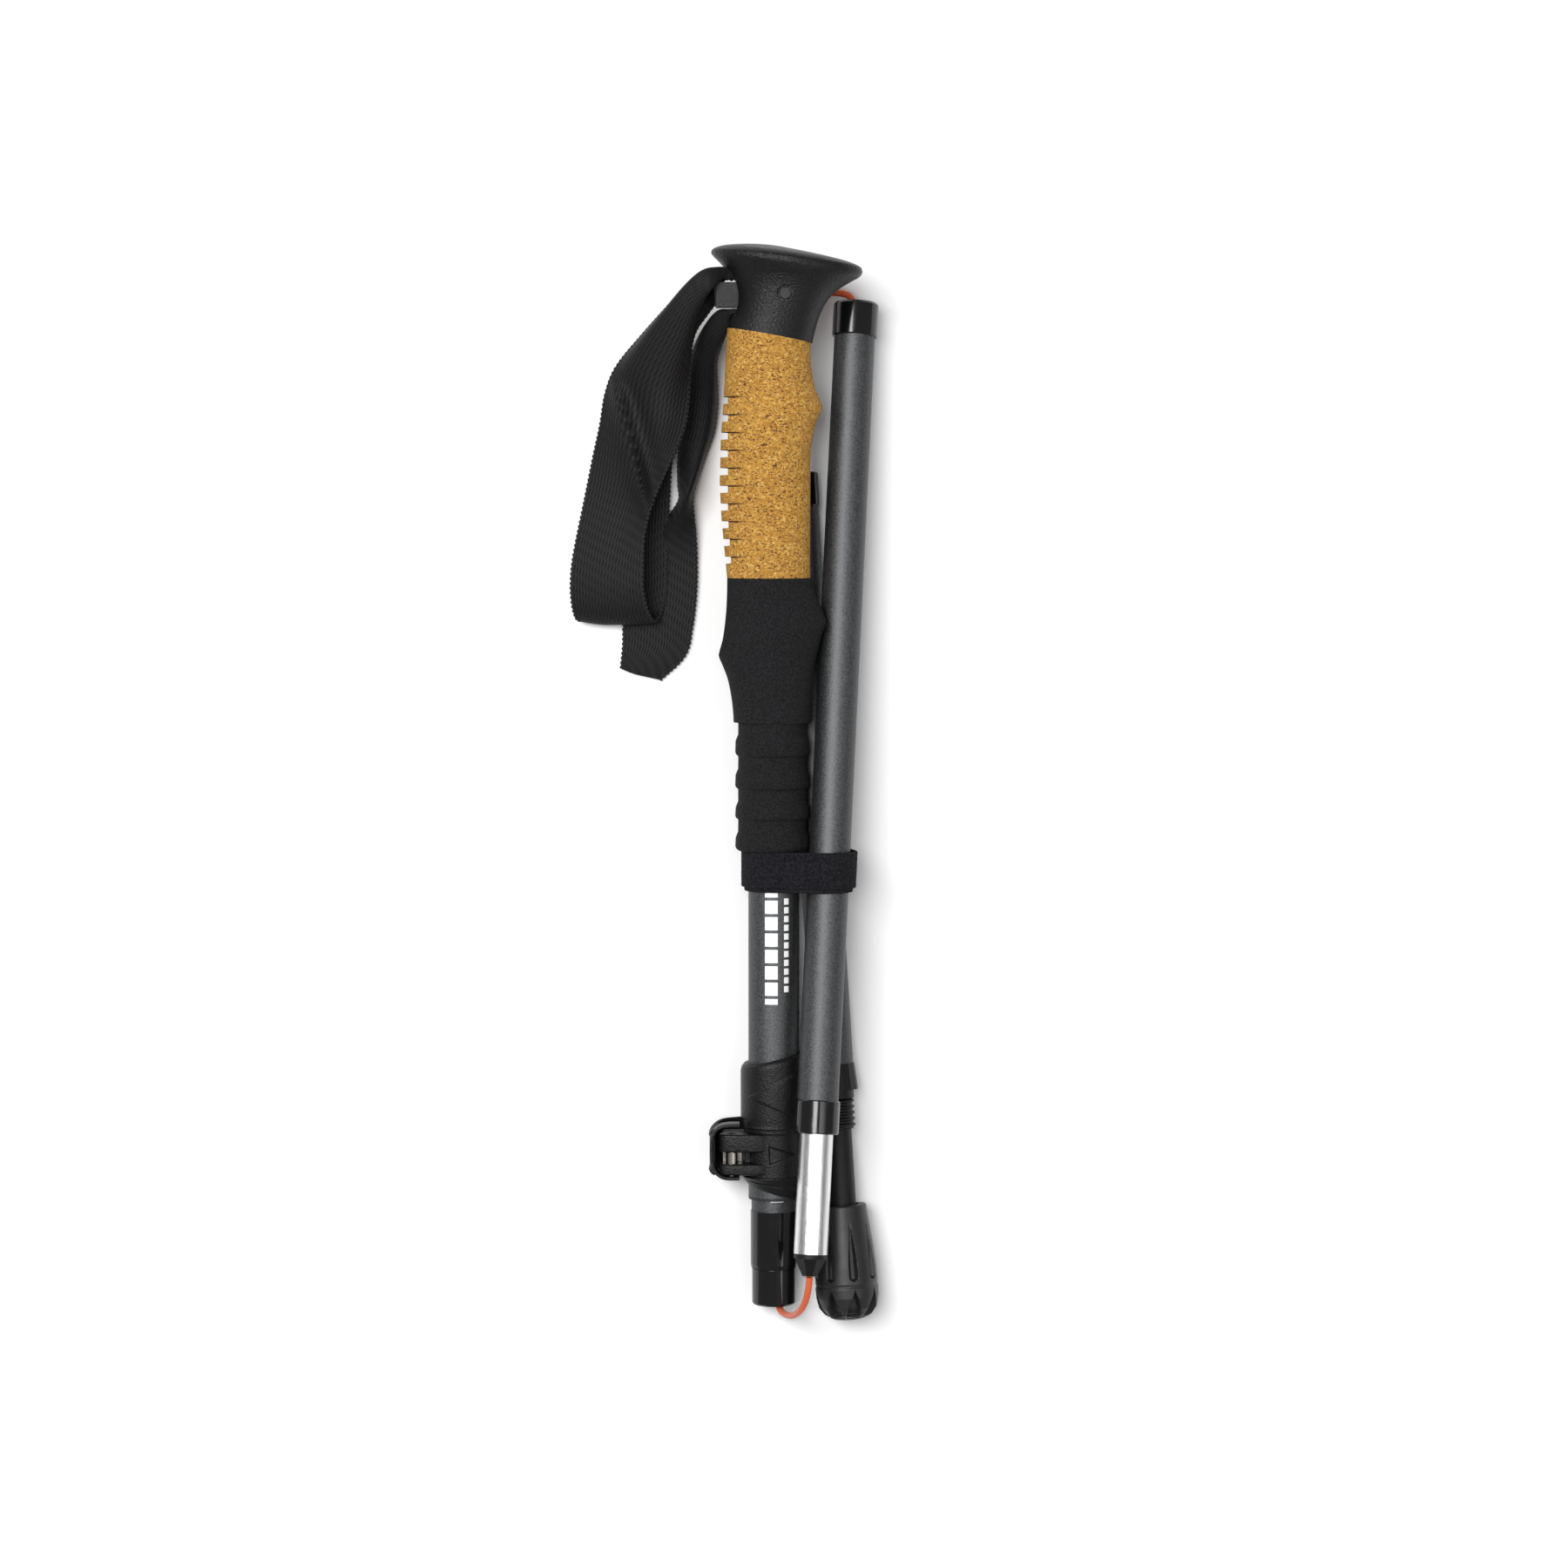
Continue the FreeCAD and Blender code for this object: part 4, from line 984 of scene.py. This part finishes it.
STRAP_LOW, STRAP_HIGH = 148.6, 161.8
STRAP_THICK = 0.95


def strap_outline(station, angle, grow):
    """The point at an angle on a tight band round all three sections, at a station."""
    c, s = math.cos(angle), math.sin(angle)
    circles = [(0.0, 0.0, 9.0)]
    for section in (MIDDLE, LOWER):
        travel = (HANDLE.at(0, 0, station) - section.origin).dot(Vector((0, 1, 0)))
        centre = section.origin + section.along * (travel / section.along.y)
        offset = centre - HANDLE.origin
        circles.append((offset.dot(HANDLE.across) / MM, offset.dot(HANDLE.up) / MM, 7.25))
    x, up, radius = max(circles, key=lambda k: k[0] * c + k[1] * s + k[2])
    return x + (radius + grow) * c, up + (radius + grow) * s


def make_storage_strap():
    """One band of loop pile wound round the sections and lapped over itself on top."""
    turns = np.linspace(math.radians(-100), math.radians(600), 480)
    across = np.linspace(0, 1, 15)
    rows = []
    for i, angle in enumerate(turns):
        lap = i / (len(turns) - 1)
        grow = 1.0 + 1.05 * smooth_step(lap, 0.47, 0.58)
        shift = -1.2 + 1.5 * smooth_step(lap, 0.47, 0.58)
        stations = STRAP_LOW + shift + 0.2 + across * (STRAP_HIGH - STRAP_LOW - 0.3)
        rows.append([(*strap_outline(station, angle, grow), station) for station in stations])
    grid = HANDLE.points(rows)
    band = grid_mesh("storage_wrap", grid)
    thickened(band, STRAP_THICK)
    fine = band.modifiers.new("fine", "SUBSURF")
    fine.levels = fine.render_levels = 1
    apply_modifiers(band)
    count = len(band.data.vertices)
    places, normals = np.zeros((count, 3)), np.zeros((count, 3))
    band.data.vertices.foreach_get("co", places.ravel())
    band.data.vertices.foreach_get("normal", normals.ravel())
    lift = np.array([noise.noise(Vector(place) * 1100) for place in places]) * 0.12 * MM
    band.data.vertices.foreach_set("co", (places + normals * lift[:, None]).ravel())
    band.data.update()
    placed(band, "pile", "handle", "hook_loop_black", "storage_strap")
    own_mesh(band)


# ---- shock cord loops ----

CORD_RADIUS = 1.2
SHEATH_RADIUS = 2.1
SHEATH_WALL = 0.6
LOWER_LOOP = [(8.9, -172.7, 34.7), (8.4, -181.0, 33.8), (3.6, -188.6, 22.5),
              (-2.2, -187.6, 12.0), (-3.5, -180.4, 10.4)]
UPPER_LOOP = [(25.4, 165.4, 11.9), (25.6, 173.2, 11.5), (18.5, 175.4, 10.6),
              (9.0, 174.0, 9.2), (2.4, 169.5, 8.2), (1.2, 162.2, 7.7)]


def smooth_line(points):
    """Points read from the NURBS spline that has a route's points as its control points."""
    curve = bpy.data.curves.new("route", "CURVE")
    curve.dimensions = "3D"
    curve.resolution_u = 24
    spline = curve.splines.new("NURBS")
    spline.points.add(len(points) - 1)
    for point, place in zip(spline.points, table(points)):
        point.co = (*place, 1)
    spline.order_u = 3
    spline.use_endpoint_u = True
    holder = linked("route", curve)
    bpy.context.view_layer.update()
    mesh = bpy.data.meshes.new_from_object(holder)
    line = np.array([v.co for v in mesh.vertices])
    bpy.data.objects.remove(holder)
    return line


def tube_along(name, line, radius, around=24):
    """A round tube along a line, with turns round it as u and metres along it as v."""
    run = run_along(line)
    ahead = unit(np.gradient(line, axis=0))
    angle = np.linspace(0, 2 * np.pi, around + 1)
    side = np.cross(ahead[0], (0.3, 0.1, 1.0))
    rings = []
    for point, tangent in zip(line, ahead):
        side = side - tangent * side.dot(tangent)
        side = side / np.linalg.norm(side)
        over = np.cross(tangent, side)
        ring = np.outer(np.cos(angle), side) + np.outer(np.sin(angle), over)
        rings.append(point + radius * MM * ring)
    uv = np.stack(np.meshgrid(np.linspace(0, 1, around + 1), run), -1)
    return grid_mesh(name, np.array(rings), uv=uv)


def make_loop(name, route, body, mouth):
    """Orange cord in its clear sheath, its line starting at its mouth."""
    line = smooth_line(route)
    if mouth == "end":
        line = line[::-1]
    core = tube_along(f"{name}_cord", line, CORD_RADIUS)
    sheath = tube_along(f"{name}_sheath", line, SHEATH_RADIUS)
    thickened(sheath, SHEATH_WALL, offset=-1.0)
    apply_modifiers(sheath)
    placed(core, "braid", body, "cord_orange", f"{name}_cord")
    placed(sheath, "clear", body, "cord_sheath", f"{name}_sheath")
    for piece in (core, sheath):
        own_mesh(piece)


# ---- tip ----

FOOT_PROFILE = [(0.0, 5.0), (0.5, 6.6), (1.6, 8.4), (4.2, 10.3), (8.0, 11.1), (11.6, 11.25),
                (12.0, 10.95), (12.5, 10.95), (12.9, 11.1), (19.0, 10.9), (27.0, 10.2),
                (34.0, 9.3), (38.5, 8.8), (40.2, 8.7), (40.6, 8.3)]
FLUTES = 8
FIRST_FLUTE = math.radians(31.0)


def make_foot():
    """Walking foot: teardrop flutes round the body and V-shaped notches round the sole."""
    stations = np.concatenate([np.linspace(0, 12.9, 80), np.linspace(13.0, 40.6, 150)])
    radius = softened(stations, FOOT_PROFILE, 0.3)
    angle = np.linspace(0, 2 * np.pi, 384, endpoint=False)
    turn = (angle[None, :] - FIRST_FLUTE) * FLUTES / (2 * np.pi)
    off = np.abs(turn - np.round(turn)) * 2 * np.pi / FLUTES
    arc = off * radius[:, None]
    s = stations[:, None]
    half = 0.25 + 1.35 * smooth_step(s, 36.0, 17.5) * smooth_step(s, 13.9, 15.2)
    flute = 1.8 * (1 - smooth_step(arc, half * 0.45, half * 1.15)) \
        * smooth_step(s, 36.0, 22.0) * smooth_step(s, 13.9, 14.9)
    wedge = 0.15 + 2.7 * smooth_step(s, 11.6, 3.0)
    notch = 3.2 * (1 - smooth_step(arc, wedge * 0.8, wedge)) * (s < 11.4) \
        * smooth_step(s, 11.4, 8.0) * smooth_step(s, 0.2, 2.6)
    body = radius[:, None] - flute - notch
    local = np.stack([body * np.cos(angle), body * np.sin(angle),
                      np.repeat(s, len(angle), 1)], -1)
    rim = local[-1:] * (0.72, 0.72, 1.0)
    inside = rim - (0, 0, 6.0)
    foot = solid("rubber_foot", LOWER.points(np.concatenate([local, rim, inside])), 40)
    placed(foot, "rubber", "tip_protector", "rubber_black", "tip_protector")


# ---- carried-over CAD nodes ----

CAD_FINISHES = {
    "pin": ["strap_pin"],
    "wedge": ["strap_wedge"],
    "outer_tube": ["outer_shaft"],
    "scale_tube": ["inner_shaft"],
    "tube": ["middle_tube", "lower_tube"],
    "spigot": ["middle_spigot", "lower_spigot"],
    "gloss": ["ferrule_collar", "ferrule_socket", "middle_socket_cap", "middle_spigot_sleeve",
              "lower_spigot_sleeve"],
    "steel": ["clamp_pin", "clamp_screw", "clamp_nut", "clamp_washer", "tip_insert"],
    "tip": ["middle_spigot_cone", "lower_spigot_cone", "basket_collar", "flex_tip"],
    "inner": ["shaft_plug", "shaft_bush", "inner_shaft_plug", "upper_cord_anchor"],
    "braid": ["shock_cord_upper", "shock_cord_middle", "shock_cord_lower", "lower_cord_knot"],
}
CAD_SHARP = 35
ROUNDED_EDGES = {"basket_collar": 0.25,
                 "middle_spigot_cone": 0.25, "lower_spigot_cone": 0.25, "strap_wedge": 0.3,
                 "strap_pin": 0.3, "ferrule_collar": 0.15, "ferrule_socket": 0.2}


def finish_cad_nodes():
    for finish, names in CAD_FINISHES.items():
        for name in names:
            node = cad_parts[name]
            painted(node, finish)
            smoothed(node, CAD_SHARP)
            if name in ROUNDED_EDGES:
                rounded(node, ROUNDED_EDGES[name], harden=True)


# ---- stage ----

CAMERA_HEIGHT = 1.43
CAMERA_LENS = 91.5


def make_stage():
    grid = np.array([[(x, y, -0.0002) for x in (-4, 4)] for y in (-4, 4)], float)
    floor = grid_mesh("floor", grid)
    painted(floor, "floor")
    camera = linked("camera", bpy.data.cameras.new("camera"))
    camera.data.lens = CAMERA_LENS
    camera.data.sensor_width = 36.0
    camera.location = (TABLE.x, TABLE.y, CAMERA_HEIGHT)
    bpy.context.scene.camera = camera


def area_light(name, place, size, power):
    """A soft light that faces the middle of the table."""
    light = bpy.data.lights.new(name, "AREA")
    light.shape = "RECTANGLE"
    light.size, light.size_y = size
    light.energy = power
    holder = linked(name, light)
    holder.location = place
    holder.rotation_euler = (-Vector(place)).to_track_quat("-Z", "Y").to_euler()


def make_lights():
    world = bpy.data.worlds.new("studio")
    bpy.context.scene.world = world
    world.use_nodes = True
    background = world.node_tree.nodes["Background"].inputs
    background["Color"].default_value = (1, 1, 1, 1)
    background["Strength"].default_value = 0.30
    area_light("key", (-0.55, 0.35, 1.9), (0.7, 1.4), 40)
    area_light("fill", (0.9, -0.3, 1.6), (0.5, 1.2), 6)
    bpy.context.scene.view_settings.view_transform = "Standard"


# ---- build ----

finish_cad_nodes()
make_head()
make_cork()
make_foam()
make_band("wrist_loop", LOOP_ROWS)
make_band("strap_tail", TAIL_ROWS)
make_storage_strap()
make_collar()
make_lever()
make_loop("lower_loop", LOWER_LOOP, "inner_shaft", "end")
make_loop("upper_loop", UPPER_LOOP, "middle", "start")
make_foot()
make_stage()
make_lights()
